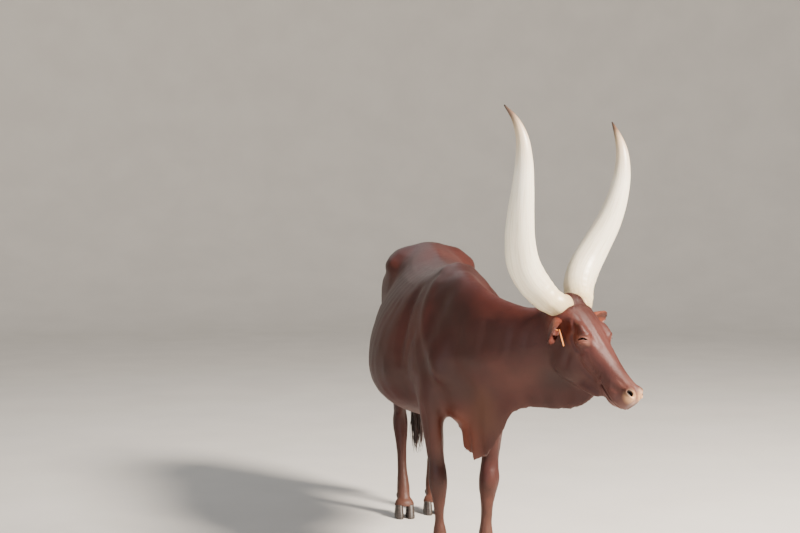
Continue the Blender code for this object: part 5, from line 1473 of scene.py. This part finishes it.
def make_stage():
    """A plain pale floor that sweeps up into a round backdrop, far behind the lights."""
    line = [(0.0, 0.0), (FLOOR_FLAT, 0.0)]
    for t in np.linspace(0.12, math.pi / 2, 12):
        line.append((FLOOR_FLAT + FLOOR_SWEEP * math.sin(t), FLOOR_SWEEP - FLOOR_SWEEP * math.cos(t)))
    line.append((FLOOR_FLAT + FLOOR_SWEEP, BACKDROP_TOP))
    made = bmesh.new()
    spots = [made.verts.new((reach, 0, height)) for reach, height in line]
    for low, high in zip(spots, spots[1:]):
        made.edges.new((low, high))
    around = {"cent": (0, 0, 0), "axis": (0, 0, 1), "angle": 2 * math.pi, "steps": 96, "use_merge": True}
    bmesh.ops.spin(made, geom=made.verts[:] + made.edges[:], **around)
    bmesh.ops.remove_doubles(made, verts=made.verts, dist=1e-4)
    bmesh.ops.recalc_face_normals(made, faces=made.faces)
    mesh = bpy.data.meshes.new("floor")
    made.to_mesh(mesh)
    made.free()
    floor = new_object("floor", mesh, grained_material("pale_floor"))
    world = bpy.data.worlds.new("soft_studio")
    bpy.context.scene.world = world
    world.use_nodes = True
    sky = world.node_tree.nodes["Background"]
    sky.inputs["Color"].default_value = linear("E6EAF0")
    sky.inputs["Strength"].default_value = SKY_STRENGTH


def add_light(name, place, target, size, power, code):
    lamp = bpy.data.lights.new(name, "AREA")
    lamp.shape = "DISK"
    lamp.size = size
    lamp.energy = power
    lamp.color = linear(code)[:3]
    obj = bpy.data.objects.new(name, lamp)
    bpy.context.scene.collection.objects.link(obj)
    obj.location = place
    obj.rotation_euler = (Vector(target) - Vector(place)).to_track_quat("-Z", "Y").to_euler()


# The photo's camera, read in the frame of the barrel: a standing person's eye level, a long lens,
# slightly down.
CAMERA_PLACE = Vector((6.81, -1.105, 1.6))
CAMERA_LOOK = Vector((-0.9903, 0.1304, -0.0471))
CAMERA_LENS = 67.5
CAMERA_FILM = 36.0
CAMERA_REACH = 200


def make_camera():
    camera = bpy.data.objects.new("camera", bpy.data.cameras.new("camera"))
    bpy.context.scene.collection.objects.link(camera)
    camera.data.lens = CAMERA_LENS
    camera.data.sensor_width = CAMERA_FILM
    camera.location = CAMERA_PLACE + Vector((SHIFT.x, SHIFT.y, 0))
    camera.rotation_euler = CAMERA_LOOK.to_track_quat("-Z", "Y").to_euler()
    camera.data.clip_end = CAMERA_REACH
    bpy.context.scene.camera = camera


def stand_for(piece, slot, *nodes):
    """A piece takes the place of its nodes, which are hidden. The slot is not used."""
    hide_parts(*nodes)
    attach(piece, "root")


def main():
    make_stage()
    make_camera()
    target = tuple(crown - Vector((0.4, 0.2, 0.2)))
    for name, (place, size, power, code) in LIGHTS.items():
        add_light(name, place, target, size, power, code)
    coat = coat_material()
    skin = make_skin(coat)
    stand_for(skin, "coat", *FLESH)
    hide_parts("ear_left", "ear_right")
    horn_finish = horn_material()
    eye_finish = grained_material("wet_dark_eye")
    hoof_finish = grained_material("worn_hoof")
    tag_finish = grained_material("moulded_tag")
    hair_finish = grained_material("dark_switch_hair")
    for name, side in SIDES.items():
        stand_for(make_horn(side, f"horn_{name}_shell", horn_finish), "horn", f"horn_{name}")
        stand_for(make_eye(f"eye_{name}_ball", f"eye_{name}", eye_finish), "eye", f"eye_{name}")
        make_lashes(side, f"lashes_{name}", hair_finish)
    for foot in FEET:
        for toe in ("outer", "inner"):
            for kind in ("claw", "dewclaw"):
                node = f"{kind}_{foot}_{toe}"
                stand_for(make_claw(node, hoof_finish), "hoof", node)
    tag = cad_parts["ear_tag_right"]
    tag.data.materials.clear()
    tag.data.materials.append(tag_finish)
    unwrap(skin)
    pelt = Pelt(skin)
    make_coat(pelt, coat)
    stand_for(make_switch("tail_brush", hair_finish, pelt), "switch_hair", "tail_switch")


bpy.ops.object.select_all(action="DESELECT")
main()
